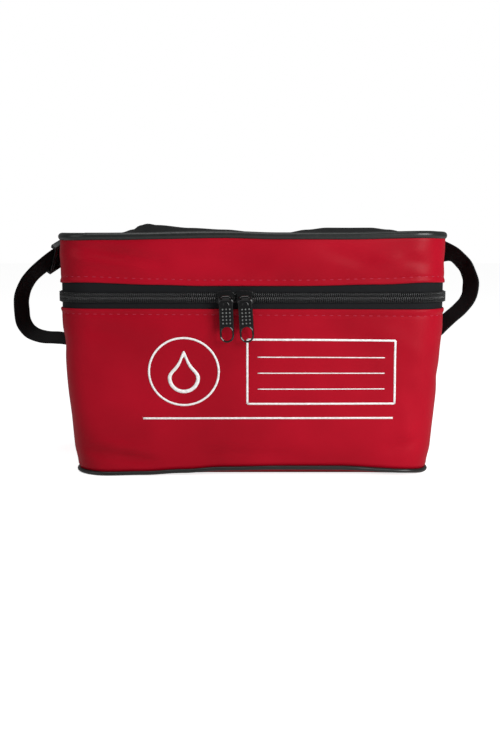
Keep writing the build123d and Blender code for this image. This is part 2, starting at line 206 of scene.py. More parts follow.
def shaded(colour, factor):
    """A linear colour, darker or lighter."""
    return tuple(min(part * factor, 1.0) for part in colour[:3]) + (1.0,)


def patches(tree, scale, detail):
    """Uneven patches fixed to the piece, as a share from 0 to 1."""
    place = add_node(tree, "ShaderNodeTexCoord")
    settings, links = {"Scale": scale, "Detail": detail}, {"Vector": place.outputs["Object"]}
    return add_node(tree, "ShaderNodeTexNoise", settings, links).outputs["Fac"]


def plain_weave(tree, thread, turn=0.0):
    """Warp and weft threads a real distance in mm apart, as a height from 0 to 1."""
    place = add_node(tree, "ShaderNodeTexCoord")
    turned = add_node(tree, "ShaderNodeMapping", {"Rotation": (0, 0, turn)}, {"Vector": place.outputs["UV"]})
    waves = {}
    for index, direction in enumerate("XY"):
        settings = {"bands_direction": direction, "Scale": BAND / (thread * MM), "Distortion": 0.0}
        wave = add_node(tree, "ShaderNodeTexWave", settings, {"Vector": turned.outputs[0]})
        waves[index] = wave.outputs["Fac"]
    return add_node(tree, "ShaderNodeMath", {"operation": "MAXIMUM"}, waves).outputs[0]


def surface(tree, tone, height, strength, relief, settings, gloss=None):
    """A tone on a raised pattern, its relief in mm, with its settings and its change of gloss."""
    bump = add_node(
        tree, "ShaderNodeBump", {"Strength": strength, "Distance": relief * MM}, {"Height": height}
    )
    links = {"Base Color": tone.outputs[0], "Normal": bump.outputs[0]}
    if gloss:
        links["Roughness"] = gloss.outputs[0]
    finish_material(tree, add_node(tree, "ShaderNodeBsdfPrincipled", settings, links))


def coated_nylon(colours):
    """Oxford nylon with a rolled-on coating: soft gloss, faint weave, slow changes of tone."""
    material, tree = new_material("coated_oxford_nylon_red")
    # tone and gloss change over some 90 mm, the coating's grain over some 2.4 mm
    slow, grain = patches(tree, 11.0, 3.0), patches(tree, 420.0, 2.0)
    tone = two_tone(tree, slow, 0.3, 0.72, linear(colours.red_deep), linear(colours.red))
    # the threads are drawn 0.7 mm apart, coarser than the real 0.35 mm, so that they show
    uneven = add_node(
        tree, "ShaderNodeMath", {"operation": "MULTIPLY_ADD", 1: 0.6}, {0: grain, 2: plain_weave(tree, 0.7)}
    )
    spread = {"From Min": 0.3, "From Max": 0.7, "To Min": 0.36, "To Max": 0.48}
    gloss = add_node(tree, "ShaderNodeMapRange", spread, {"Value": slow})
    surface(tree, tone, uneven.outputs[0], 0.16, 0.12, {"IOR": 1.5, "Specular IOR Level": 0.09}, gloss)
    return material


def woven(name, hex_colour, thread, roughness, relief, turn=0.0):
    """Uncoated weave: threads with darker gaps (painted shade) and lighter ribs (painted highlight), dull, with
    the height of its ribs, in mm.
    """
    material, tree = new_material(name)
    # the fuzz of the yarn is about 1.1 mm across
    links = {0: patches(tree, 900.0, 2.0), 2: plain_weave(tree, thread, turn)}
    mixed = add_node(tree, "ShaderNodeMath", {"operation": "MULTIPLY_ADD", 1: 0.35}, links).outputs[0]
    yarn = linear(hex_colour)
    # painted shade in the weave's gaps and a painted highlight on its ribs, over the bump of the same pattern
    tone = two_tone(tree, mixed, 0.35, 1.0, shaded(yarn, GAP_SHADE), shaded(yarn, RIB_SHADE))
    dull = {"Roughness": roughness, "Sheen Weight": 0.01, "Sheen Roughness": 0.5, "Specular IOR Level": 0.15}
    surface(tree, tone, mixed, 0.6, relief, dull)
    return material


def moulded(name, hex_colour, roughness, grain, relief, coat=0.0, specular=0.5):
    """A moulded, drawn or enamelled surface: one colour, fine unevenness in mm, its own gloss."""
    material, tree = new_material(name)
    uneven, base = patches(tree, 1 / (grain * MM), 3.0), linear(hex_colour)
    tone = two_tone(tree, uneven, 0.3, 0.75, shaded(base, 0.8), shaded(base, 1.15))
    spread = {"To Min": roughness * 0.85, "To Max": roughness * 1.15}
    gloss = add_node(tree, "ShaderNodeMapRange", spread, {"Value": uneven})
    settings = {"Coat Weight": coat, "Coat Roughness": 0.08, "Specular IOR Level": specular}
    surface(tree, tone, uneven, 0.4, relief, settings, gloss)
    return material


def make_materials(colours):
    """Every finish on the bag, by a short name."""
    return {
        "red": coated_nylon(colours),
        # extruded soft vinyl: satin, with a broad bright line along the bead
        "piping": moulded("extruded_vinyl_piping", colours.piping, 0.34, 6, 0.05, coat=0.1, specular=0.4),
        # zip tape is a close twill, seen as fine slanting ribs
        "tape": woven("woven_polyester_tape", colours.tape, 0.8, 0.75, 0.15, turn=0.6),
        # drawn filament is smooth and catches a small hard light on every turn
        "coil": moulded("drawn_nylon_filament", colours.coil, 0.22, 1, 0.02, specular=0.6),
        # webbing shows its ribs across the width
        "webbing": woven("woven_polypropylene_webbing", colours.webbing, 1.5, 0.6, 0.3, turn=0.785),
        # stoved enamel flows out level: deep black with sharp glints on its edges
        "enamel": moulded("stoved_enamel_on_zinc", colours.enamel, 0.13, 3, 0.02, coat=0.1, specular=0.45),
        # the raised dots get a light grey: a painted highlight standing in for their glints
        "dot_highlight": moulded("painted_dot_highlight", colours.dot_highlight, 0.3, 3, 0.02),
        # moulded acetal: even, with a soft broad gloss
        "acetal": moulded("moulded_acetal", colours.acetal, 0.38, 0.8, 0.03),
        # twisted thread: dull, with a change of tone along the twist
        "thread_red": moulded("polyester_thread_red", colours.thread_red, 0.55, 0.6, 0.05),
        "thread_black": moulded("polyester_thread_black", colours.thread_black, 0.55, 0.6, 0.05),
        # calendered lining film, wipe-clean and a little silvery
        "lining": moulded("calendered_lining_film", colours.lining, 0.33, 9, 0.3, coat=0.2),
        # cut foam: matt and pale, with fine closed cells
        "foam": moulded("closed_cell_foam", colours.foam, 0.8, 1.2, 0.2),
        # extruded sheet: flat and half matt
        "board": moulded("polypropylene_sheet", colours.board, 0.5, 4, 0.05),
        # screen ink lies on the coating as a thin, even, slightly glossy film
        "ink": moulded("screen_printing_ink", colours.ink, 0.45, 2, 0.03),
    }


# the bag's cut


def smooth(value):
    """Eases a share from 0 to 1."""
    share = min(max(value, 0.0), 1.0)
    return share * share * (3 - 2 * share)


def keyed(value, keys):
    """A value read off a few (place, value) pairs, eased between them."""
    if value <= keys[0][0]:
        return keys[0][1]
    for (start, low), (end, high) in zip(keys, keys[1:]):
        if value <= end:
            return low + (high - low) * smooth((value - start) / (end - start))
    return keys[-1][1]


# front creases: x and height of both ends, half width, depth, all in mm
FRONT_CREASES = (
    (-150, 186, -72, 172, 5.5, -1.5),
    (-146, 176, -90, 167, 6, 0.8),
    (-60, 178, 10, 171, 7, -0.5),
    (60, 181, 100, 168, 6, -0.7),
    (92, 168, 132, 181, 5, 0.8),
    (118, 176, 150, 160, 5, -0.7),
    (-134, 21, -118, 19, 3, -1.4),
    (-112, 16, -80, 12, 3.2, -1.5),
    (-120, 27, -92, 22, 4, 1.0),
    (-146, 128, -96, 112, 9, -0.7),
    (-132, 96, -128, 48, 8, -0.7),
    (96, 120, 140, 98, 8, 0.7),
    (128, 70, 141, 24, 7, -1.0),
    (112, 20, 138, 30, 4, -0.9),
    (-40, 16, 40, 13, 5, -0.6),
)
# side creases: y and height of both ends, half width, depth, all in mm
SIDE_CREASES = (
    (-80, 110, -30, 96, 8, -0.9),
    (30, 60, 80, 84, 8, -0.9),
    (-60, 30, -10, 22, 5, -1.0),
    (10, 180, 70, 170, 6, -1.0),
    (-70, 178, -20, 170, 6, 0.8),
)


def crease(place, height, table):
    """How far the fabric stands out at a place because of the creases in a table."""
    total = 0.0
    spot = Vector((place, height)) / MM
    for x0, z0, x1, z1, half, depth in table:
        start, run = Vector((x0, z0)), Vector((x1 - x0, z1 - z0))
        share = min(max((spot - start).dot(run) / run.length_squared, 0.0), 1.0)
        away = (spot - start - run * share).length / half
        if away < 3:
            fade = 0.35 + 0.65 * math.sin(math.pi * (0.08 + 0.84 * share))
            total += CREASE_GAIN * depth * fade * math.exp(-away * away)
    return total * MM


class Cut:
    """Where a spot of the bag's wall lies, with the give of the soft real one."""

    def __init__(self, scene):
        shape = scene.bag_shape
        self.shape = shape
        self.half_straight_x = shape.top_width / 2 - shape.top_corner
        self.half_straight_y = shape.top_depth / 2 - shape.top_corner
        arc = shape.top_corner * math.pi / 2
        back, side = self.half_straight_x, 2 * self.half_straight_y
        self.runs = (back, arc, side, arc, 2 * back, arc, side, arc, back)
        self.girth = sum(self.runs)

    def plan(self, height):
        """Width, depth and corner radius of the outside at a height."""
        shape = self.shape
        share = min(max(height, 0.0) / shape.taper, 1.0)
        return (
            shape.base_width + (shape.top_width - shape.base_width) * share,
            shape.base_depth + (shape.top_depth - shape.base_depth) * share,
            shape.base_corner + (shape.top_corner - shape.base_corner) * share,
        )

    def end_reach(self, height):
        """How far the padding pushes the ends out at a height."""
        keys = [(0, 0.25), (8, 0.65), (22, 1.0), (64, 1.0), (108, 0.86), (126, 0.92), (140, 1.0)]
        return self.shape.end_swell * keyed(height / MM, keys)

    def flat_spot(self, along, height, inset=0.0):
        """A spot of the cut with its ends pushed out, and the outward direction there."""
        spot, out = self.cut_spot(along, height, inset)
        spot.x += self.end_reach(height) * spot.x / (self.plan(height)[0] / 2)
        return spot, out

    def cut_spot(self, along, height, inset=0.0):
        """Place and outward direction, `along` the girth from the middle of the back,
        by the left side, the front and the right side."""
        width, depth, corner = self.plan(height)
        reach = corner - inset
        x, y = width / 2 - corner, depth / 2 - corner
        rest = along % self.girth
        for index, run in enumerate(self.runs):
            if rest <= run or index == len(self.runs) - 1:
                break
            rest -= run
        share = rest / run
        if index % 2:
            centre_x = -x if index in (1, 3) else x
            centre_y = y if index in (1, 7) else -y
            angle = math.pi / 2 * (1 + index // 2 + share)
            out = Vector((math.cos(angle), math.sin(angle), 0))
            return Vector((centre_x, centre_y, height)) + out * reach, out
        ends = {
            0: ((0, y), (-x, y), (0, 1)),
            2: ((-x, y), (-x, -y), (-1, 0)),
            4: ((-x, -y), (x, -y), (0, -1)),
            6: ((x, -y), (x, y), (1, 0)),
            8: ((x, y), (0, y), (0, 1)),
        }[index]
        start, end, out = (Vector((*pair, 0)) for pair in ends)
        return start.lerp(end, share) + out * reach + Vector((0, 0, height)), out

    def hinge_half(self, sizes):
        """Half the hinge's width along the cut."""
        return sizes.half_hinge / (1 + self.shape.end_swell / (self.shape.top_width / 2))

    def swell(self, spot, out, height):
        """How far the soft wall stands out of its cut."""
        shape = self.shape
        held = smooth((abs(height - shape.split) / MM - 13) / 16)
        wave = noise.noise(Vector((spot.x * 13, spot.y * 13, height * 17))) * 0.9 * MM
        fine = noise.noise(Vector((spot.x * 34 + 7, spot.y * 34, height * 46))) * 0.35 * MM
        front, back = max(-out.y, 0.0), max(out.y, 0.0)
        side = abs(out.x)
        folds = crease(spot.x, height, FRONT_CREASES) * front
        folds += crease(-spot.x, height, FRONT_CREASES) * back * 0.8
        folds += crease(spot.y if out.x < 0 else -spot.y, height, SIDE_CREASES) * side
        lower = smooth(height / (26 * MM)) * smooth((shape.wall_top - height) / (40 * MM))
        upper = smooth((height - shape.skirt_bottom) / (14 * MM))
        upper *= smooth((shape.lid_top - height) / (12 * MM))
        width, depth, corner = self.plan(height)
        across = spot.x / (width / 2 - corner) if side < 0.5 else spot.y / (depth / 2 - corner)
        middle = 1 - smooth((abs(across) - 0.2) / 0.8)
        belly = (1.5 * lower + 0.9 * upper) * middle * MM
        return (wave + fine + folds) * held + belly

    def rise(self, spot, out, height):
        """How far the soft wall is lifted or dropped from its cut."""
        front = 0.5 - 0.5 * out.y
        low = 1 - smooth(height / (55 * MM))
        edge = [(-118, -0.1), (-88, 0.4), (-57, 2.1), (-25, 4.1), (22, 4.9), (70, 4.9), (124, 2.2), (142, 1.2)]
        sag = keyed(spot.x / MM, edge) * max(-out.y, 0.0) ** 2
        sag += 2.2 * max(out.y, 0.0) ** 2 * (1 - smooth((abs(spot.x) / MM - 20) / 110))
        sag += 1.6 * out.x**2 * (1 - smooth((abs(spot.y) / MM - 8) / 60))
        high = smooth((height - self.shape.skirt_bottom) / (38 * MM))
        waves = [(-150, -0.6), (-110, -0.3), (-22, 1.1), (20, 0.0), (70, 0.0), (140, 1.2), (150, 0.9)]
        top = keyed(spot.x / MM, waves) * front
        middle = smooth((height / MM - 70) / 40) * (1 - smooth((height / MM - 133) / 5))
        zip_wave = keyed(spot.x / MM, [(-145, 0.6), (-30, 0.0), (30, -0.4), (145, -1.2)]) * front
        # the lid's folded edge is drawn up towards both corners
        hem = keyed(spot.x / MM, [(-135, 2.8), (-75, 0.9), (-40, 0.0), (40, 0.0), (100, 1.2), (140, 2.8)])
        hem *= smooth((height / MM - 149) / 4) * (1 - smooth((height / MM - 160) / 26)) * front
        return (sag * low + top * high + zip_wave * middle + hem) * MM

    def spot(self, along, height, inset=0.0, proud=0.0):
        """A spot of the soft wall, moved in by an inset, and its outward direction."""
        outer, out = self.flat_spot(along, height)
        place, _ = self.flat_spot(along, height, inset)
        move = self.swell(outer, out, height) + proud
        return place + out * move + UP * self.rise(outer, out, height), out

    def ring(self):
        """Stations round the whole girth, closer together at the corners."""
        stations, start = [], 0.0
        for index, run in enumerate(self.runs):
            steps = 10 if index % 2 else max(2, round(run / SPACING))
            stations += [start + run * i / steps for i in range(steps)]
            start += run
        return [*stations, self.girth]

    def part_ring(self, start, end):
        """Stations along a part of the girth."""
        inner = [s for s in self.ring() if start + 0.2 * MM < s < end - 0.2 * MM]
        return [start, *inner, end]


# making meshes


def loft(rows, columns, place, uv):
    """A skin: one row of edges, extruded row by row, every point put in its place."""
    bm = bmesh.new()
    row_of = bm.verts.layers.int.new("row")
    column_of = bm.verts.layers.int.new("column")
    line = []
    for column in range(columns):
        vert = bm.verts.new(place(0, column))
        vert[column_of] = column
        line.append(vert)
    edges = [bm.edges.new(pair) for pair in zip(line, line[1:])]
    for row in range(1, rows):
        made = bmesh.ops.extrude_edge_only(bm, edges=edges)["geom"]
        fresh = {item for item in made if isinstance(item, bmesh.types.BMVert)}
        edges = [
            item
            for item in made
            if isinstance(item, bmesh.types.BMEdge) and all(v in fresh for v in item.verts)
        ]
        for vert in fresh:
            vert[row_of] = row
            vert.co = place(row, vert[column_of])
    layer = bm.loops.layers.uv.new("UVMap")
    for face in bm.faces:
        for loop in face.loops:
            loop[layer].uv = uv(loop.vert[row_of], loop.vert[column_of])
    bmesh.ops.remove_doubles(bm, verts=bm.verts, dist=0.002 * MM)
    return bm


def face_out(bm, away):
    """Turns a skin so that it faces away from a point."""
    total = sum(face.normal.dot(face.calc_center_median() - away) * face.calc_area() for face in bm.faces)
    if total < 0:
        bmesh.ops.reverse_faces(bm, faces=bm.faces)


def to_piece(name, bm, material, body, replaced=(), thickness=0.0, sharp=None):
    """Makes an object of a bmesh, finishes it and lets it ride on its body."""
    bm.normal_update()
    for attribute in ("row", "column"):
        layer = bm.verts.layers.int.get(attribute)
        if layer:
            bm.verts.layers.int.remove(layer)
    mesh = bpy.data.meshes.new(name)
    bm.to_mesh(mesh)
    bm.free()
    mesh.shade_smooth()
    if sharp is not None:
        mesh.set_sharp_from_angle(angle=math.radians(sharp))
    mesh.materials.append(material)
    piece = bpy.data.objects.new(name, mesh)
    bpy.context.scene.collection.objects.link(piece)
    if thickness:
        wall = piece.modifiers.new("Thickness", "SOLIDIFY")
        wall.thickness = thickness
        wall.offset = -1
        wall.use_even_offset = True
    if body:
        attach(piece, body)
    if replaced:
        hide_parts(*replaced)
    return piece


def wall_skin(cut, stations, profile):
    """A skin round the wall through a profile of (height, inset, stand-out) stations."""
    run = [0.0]
    for (z0, i0, p0), (z1, i1, p1) in zip(profile, profile[1:]):
        run.append(run[-1] + math.hypot(z1 - z0, i1 - i0 + p0 - p1))

    def place(row, column):
        height, inset, proud = profile[row]
        return cut.spot(stations[column], height, inset, proud)[0]

    bm = loft(
        len(profile), len(stations), place, lambda row, column: (stations[column], profile[0][0] + run[row])
    )
    face_out(bm, Vector((0, 0, (profile[0][0] + profile[-1][0]) / 2)))
    return bm


def heights(low, high, spacing, inset=0.0):
    """Evenly spaced profile stations between two heights."""
    steps = max(1, round((high - low) / spacing))
    return [(low + (high - low) * i / steps, inset, 0.0) for i in range(steps + 1)]


def cap_skin(cut, height, inset, rings, place_at):
    """A skin over the plan, from its outline in to the line along its middle."""
    stations = cut.ring()
    half_line = cut.half_straight_x - cut.half_straight_y

    def place(row, column):
        edge, out = cut.flat_spot(stations[column], height, inset)
        core = Vector((min(max(edge.x, -half_line), half_line), 0, height))
        share = row / (rings - 1)
        return place_at(edge.lerp(core, share), share, out, edge)

    def uv(row, column):
        spot = place(row, column)
        return spot.x, spot.y

    return loft(rings, len(stations), place, uv)


def close_rims(bm):
    """Fills every open rim."""
    bmesh.ops.holes_fill(bm, edges=[edge for edge in bm.edges if edge.is_boundary], sides=0)


def ease(bm, offset):
    """Rounds every edge."""
    bmesh.ops.bevel(
        bm, geom=bm.edges, offset=offset, segments=3, profile=0.5, affect="EDGES", material=-1
    )


def join(bm, other):
    """Adds another bmesh to this one."""
    mesh = bpy.data.meshes.new("joined")
    other.to_mesh(mesh)
    other.free()
    bm.from_mesh(mesh)
    bpy.data.meshes.remove(mesh)


def block(bm, place, middle, size):
    """Adds a box, its size and middle in mm of a placed frame."""
    move = place @ Matrix.Translation(Vector(middle) * MM)
    bmesh.ops.create_cube(bm, size=MM, matrix=move @ Matrix.Diagonal((*size, 1)))


def framed(line, wides):
    """Frames for a sweep: each width direction made square to the line, and what stands on both."""
    frames, last = [], len(line) - 1
    for index, wide in enumerate(wides):
        run = (line[min(index + 1, last)] - line[max(index - 1, 0)]).normalized()
        across = (wide - run * wide.dot(run)).normalized()
        frames.append((across, run.cross(across)))
    return frames


def sweep(section, line, frames, closed=False):
    """A section of (across, up) points carried along a line of frames."""
    run = [0.0]
    for a, b in zip(line, line[1:]):
        run.append(run[-1] + (b - a).length)
    around = [0.0]
    ring = [*section, section[0]]
    for a, b in zip(ring, ring[1:]):
        around.append(around[-1] + math.dist(a, b))

    def place(row, column):
        across, up = ring[row]
        side, rise = frames[column]
        return line[column] + side * across + rise * up

    bm = loft(len(ring), len(line), place, lambda row, column: (run[column], around[row]))
    if not closed:
        close_rims(bm)
    bmesh.ops.recalc_face_normals(bm, faces=bm.faces)
    return bm


def round_section(radius, sides):
    """A round section of (across, up) points."""
    angles = [math.tau * i / sides for i in range(sides)]
    return [(radius * math.cos(a), radius * math.sin(a)) for a in angles]


def webbing_section(width, thickness):
    """Flat webbing with rounded selvedges."""
    half, rim = width / 2, thickness / 2
    points = [(-half + rim + (width - 2 * rim) * i / 8, -rim) for i in range(9)]
    points += [(half - rim + rim * math.sin(a), -rim * math.cos(a)) for a in (0.8, 1.57, 2.34)]
    points += [(half - rim - (width - 2 * rim) * i / 8, rim) for i in range(9)]
    points += [(-half + rim - rim * math.sin(a), rim * math.cos(a)) for a in (0.8, 1.57, 2.34)]
    return points


def stitch_row(bm, places, length, radius):
    """Adds one short thread, sunk at both ends, at each (place, along, out)."""
    size = Matrix.Diagonal((length / 2, radius, radius * 1.1, 1))
    for place, along, out in places:
        turn = Matrix((along, along.cross(out), out)).transposed().to_4x4()
        move = Matrix.Translation(place) @ turn @ size
        bmesh.ops.create_uvsphere(bm, u_segments=8, v_segments=5, radius=1.0, matrix=move)


def wall_stitches(cut, sizes, height, proud):
    """Places for a row of stitches round the wall."""
    count = int(cut.girth / sizes.stitch_pitch)
    places = []
    for index in range(count):
        along = (index + 0.5) * cut.girth / count
        here, out = cut.spot(along, height, 0.0, proud)
        ahead, _ = cut.spot(along + 1 * MM, height, 0.0, proud)
        direction = (ahead - here).normalized()
        places.append((here, direction, (out - direction * out.dot(direction)).normalized()))
    return places


# operators


class BAG_OT_shell(bpy.types.Operator):
    """Sew the red fabric of the body and lid"""

    bl_idname = "bag.shell"
    bl_label = "Fabric"

    def execute(self, context):
        scene = context.scene
        cut, shape = Cut(scene), scene.bag_shape
        edge, low, row = shape.wall_top, shape.skirt_bottom, scene.strap_sizes.stitch_row
        # the fabric turns in at its folded edge, stands proud there and is drawn in at the stitches:
        # the way from the edge, the inset and the stand-out
        fold = [
            (0.2 * MM, 0.4 * MM, 0.0),
            (0, 0, 0.0),
            (0.3 * MM, 0, 0.4 * MM),
            (1.0 * MM, 0, 0.62 * MM),
            (2.4 * MM, 0, 0.5 * MM),
            (row - 0.9 * MM, 0, 0.0),
            (row, 0, -0.3 * MM),
            (row + 0.8 * MM, 0, -0.12 * MM),
            (7 * MM, 0, 0.0),
        ]
        wall = heights(3.2 * MM, edge - 9 * MM, 3.6 * MM)
        wall += [(edge - away, inset, proud) for away, inset, proud in reversed(fold)]
        skirt = [(low + away, inset, proud) for away, inset, proud in fold]
        skirt += heights(low + 9 * MM, shape.lid_top - 3.0 * MM, 2.6 * MM)
        skirt += [(shape.lid_top - 1.2 * MM, 0.9 * MM, 0.0)]
        for name, profile, body, node in (
            ("body_fabric", wall, "bag_body", "body_wall"),
            ("lid_skirt_fabric", skirt, "lid", "lid_skirt"),
        ):
            skin = wall_skin(cut, cut.ring(), profile)
            piece = to_piece(name, skin, MATERIALS["red"], body, [node], thickness=0.5 * MM)
        return {"FINISHED"}


class BAG_OT_panels(bpy.types.Operator):
    """Cut the lid's top and the base"""

    bl_idname = "bag.panels"
    bl_label = "Top and base"

    def execute(self, context):
        cut, shape = Cut(context.scene), context.scene.bag_shape

        def top_place(spot, share, out, edge):
            """The top is drawn down at its piping and padded, with a few slack waves."""
            pad = 1.5 * smooth(share / 0.25) - 0.5 * smooth((share - 0.3) / 0.7)
            slack = noise.noise(Vector((spot.x * 16, spot.y * 16, 3.1))) * 0.8 * smooth(share / 0.2)
            lift = cut.rise(edge, out, shape.lid_top) * (1 - smooth(share / 0.5))
            height = shape.lid_top + 0.3 * MM + lift + (pad * 0.35 + slack * 0.4) * MM
            return Vector((spot.x, spot.y, height))

        def base_place(spot, share, out, edge):
            """The base lies on the floor and turns up to its piping."""
            lift = cut.rise(edge, out, 0.0) * (1 - smooth(share / 0.14))
            turn = 1.3 * MM * (1 - smooth(share / 0.05))
            return Vector((spot.x, spot.y, 0.15 * MM + max(lift, 0.0) * 0.85 + turn))

        for name, body, node, fill, away, skin in (
            ("lid_top_fabric", "lid", "lid_panel", 0.5, 0, (shape.lid_top, 4.6 * MM, 26, top_place)),
            ("base_fabric", "bag_body", "base_panel", 0.3, 0.5, (3 * MM, 0.6 * MM, 24, base_place)),
        ):
            bm = cap_skin(cut, *skin)
            face_out(bm, Vector((0, 0, away)))
            piece = to_piece(name, bm, MATERIALS["red"], body, [node], thickness=0.6 * MM)
        return {"FINISHED"}


class BAG_OT_piping(bpy.types.Operator):
    """Sew the piping into both seams"""

    bl_idname = "bag.piping"
    bl_label = "Piping"

    def execute(self, context):
        cut, shape = Cut(context.scene), context.scene.bag_shape
        rows = (
            ("lid_piping", "lid", "top_piping", shape.lid_top, 1.7 * MM, shape.lid_piping),
            ("base_piping", "bag_body", "bottom_piping", 2.2 * MM, -0.9 * MM, shape.base_piping),
        )
        for name, body, node, height, inset, radius in rows:
            stations = cut.ring()
            line, frames = [], []
            for along in stations:
                spot, out = cut.spot(along, height, inset)
                # a run of gathered vinyl shows as faint flats along the bead
                wobble = 1 + 0.05 * noise.noise(Vector((along * 30, radius * 900, 0)))
                line.append(spot)
                frames.append((out * wobble, UP * wobble))
            bm = sweep(round_section(radius, 20), line, frames, closed=True)
            to_piece(name, bm, MATERIALS["piping"], body, [node])
        return {"FINISHED"}


class BAG_OT_zip(bpy.types.Operator):
    """Weave the zip's tapes and wind its coil"""

    bl_idname = "bag.zip_tapes"
    bl_label = "Zip"

    def execute(self, context):
        scene = context.scene
        cut, shape, sizes = Cut(scene), scene.bag_shape, scene.zip_sizes
        start = cut.hinge_half(sizes)
        end = cut.girth - start
        stations = cut.part_ring(start, end)
        reach, gap = sizes.tape_reach, sizes.half_gap
        for name, body, node, low, high in (
            ("zip_tape_lower", "bag_body", "lower_zip_tape", shape.wall_top - reach, shape.split - gap),
            ("zip_tape_upper", "lid", "upper_zip_tape", shape.split + gap, shape.skirt_bottom + reach),
        ):
            bm = wall_skin(cut, stations, heights(low, high, 1.2 * MM, shape.fabric))
            to_piece(name, bm, MATERIALS["tape"], body, [node], thickness=sizes.tape)
        for name, body, node, side in (
            ("zip_coil_lower", "bag_body", "lower_zip_coil", -1),
            ("zip_coil_upper", "lid", "upper_zip_coil", 1),
        ):
            self.wind(cut, sizes, name, body, node, side, start, end)
        return {"FINISHED"}

    def wind(self, cut, sizes, name, body, node, side, start, end):
        """One half of the coil: turns of filament whose heads pass between those opposite."""
        split, count = cut.shape.split, int((end - start) / sizes.pitch)
        root, head = side * sizes.coil_low, -side * sizes.coil_head
        high, low = sizes.coil_out - sizes.filament, -cut.shape.fabric + sizes.filament
        middle = (high + low) / 2
        shift = 0.0 if side < 0 else 0.5
        # a turn's stations: share of the pitch, height from the split, stand-out
        turn = (
            (0.00, root, high - 0.25 * MM),
            (0.02, root * 0.62, high),
            (0.04, head * 0.2, high + 0.1 * MM),
            (0.06, head, middle + 0.3 * MM),
            (0.10, head * 0.8, middle - 0.4 * MM),
            (0.20, root * 0.3, low),
            (0.55, root * 0.9, low),
            (0.85, root * 1.08, middle),
        )
        line, tangents = [], []
        for index in range(count):
            for share, rise, out in turn:
                along = start + (index + shift * 0.98 + share) * sizes.pitch
                spot, outward = cut.spot(along, split, 0.0, out)
                line.append(spot + UP * rise)
                tangents.append(outward.cross(UP))
        bm = sweep(round_section(sizes.filament, 6), line, framed(line, tangents))
        to_piece(name, bm, MATERIALS["coil"], body, [node])
        # the thread that sews the coil down: two short slanting stitches on every turn
        places = []
        for index in range(count):
            along = start + (index + shift + 0.3) * sizes.pitch
            for rise in (root * 0.92, root * 0.45):
                spot, outward = cut.spot(along, split, 0.0, high + 0.32 * MM)
                slant = (outward.cross(UP) + UP * 0.35).normalized()
                places.append((spot + UP * rise, slant, outward))
        seam = bmesh.new()
        thread = Matrix.Diagonal((0.5 * MM, 0.16 * MM, 0.14 * MM, 1))
        bmesh.ops.create_cube(seam, size=2.0, matrix=thread)
        first = seam.verts[:] + seam.edges[:] + seam.faces[:]
        back = Matrix()
        for index, (spot, along, outward) in enumerate(places):
            across = along.cross(outward).normalized()
            turned = Matrix((along, across, along.cross(-across))).transposed().to_4x4()
            made = bmesh.ops.duplicate(seam, geom=first)["geom"] if index else first
            fresh = [item for item in made if isinstance(item, bmesh.types.BMVert)]
            home = Matrix.Translation(spot) @ turned
            bmesh.ops.transform(seam, matrix=home @ back, verts=fresh)
            if index == 0:
                back = home.inverted()
        to_piece(f"{name}_thread", seam, MATERIALS["thread_black"], body)


class BAG_OT_hinge(bpy.types.Operator):
    """Sew the fabric hinge and the tabs over the zip's ends"""

    bl_idname = "bag.hinge"
    bl_label = "Hinge"

    def execute(self, context):
        scene = context.scene
        cut, shape, sizes = Cut(scene), scene.bag_shape, scene.zip_sizes
        half = cut.hinge_half(sizes)
        steps = 46
        stations = [-half + 2 * half * i / steps for i in range(steps + 1)]
        low, high = shape.wall_top - sizes.tape_reach, shape.skirt_bottom + sizes.tape_reach
        bm = wall_skin(cut, stations, heights(low, high, 1.0 * MM, shape.fabric))
        hinge = to_piece(
            "hinge_fabric", bm, MATERIALS["tape"], None,
            ["hinge_strip_lower", "hinge_strip_upper"], thickness=sizes.tape,
        )
        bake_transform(hinge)
        for name, node, side in (
            ("zip_tab_left", "zip_end_tab_left", -1),
            ("zip_tab_right", "zip_end_tab_right", 1),
        ):
            low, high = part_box(node)
            bm = bmesh.new()
            middle, size = (low + high) / 2, high - low
            bmesh.ops.create_cube(bm, size=1.0, matrix=Matrix.Translation(middle) @ Matrix.Diagonal((*size, 1)))
            ease(bm, 0.35 * MM)
            places = [
                (Vector((middle.x + side * x * MM, high.y, middle.z + z * MM)), UP, Vector((0, 1, 0)))
                for x in (-2.2, 2.2)
                for z in (-2.2, 0, 2.2)
            ]
            stitch_row(bm, places, 1.6 * MM, 0.2 * MM)
            to_piece(name, bm, MATERIALS["tape"], "bag_body", [node])
        return {"FINISHED"}


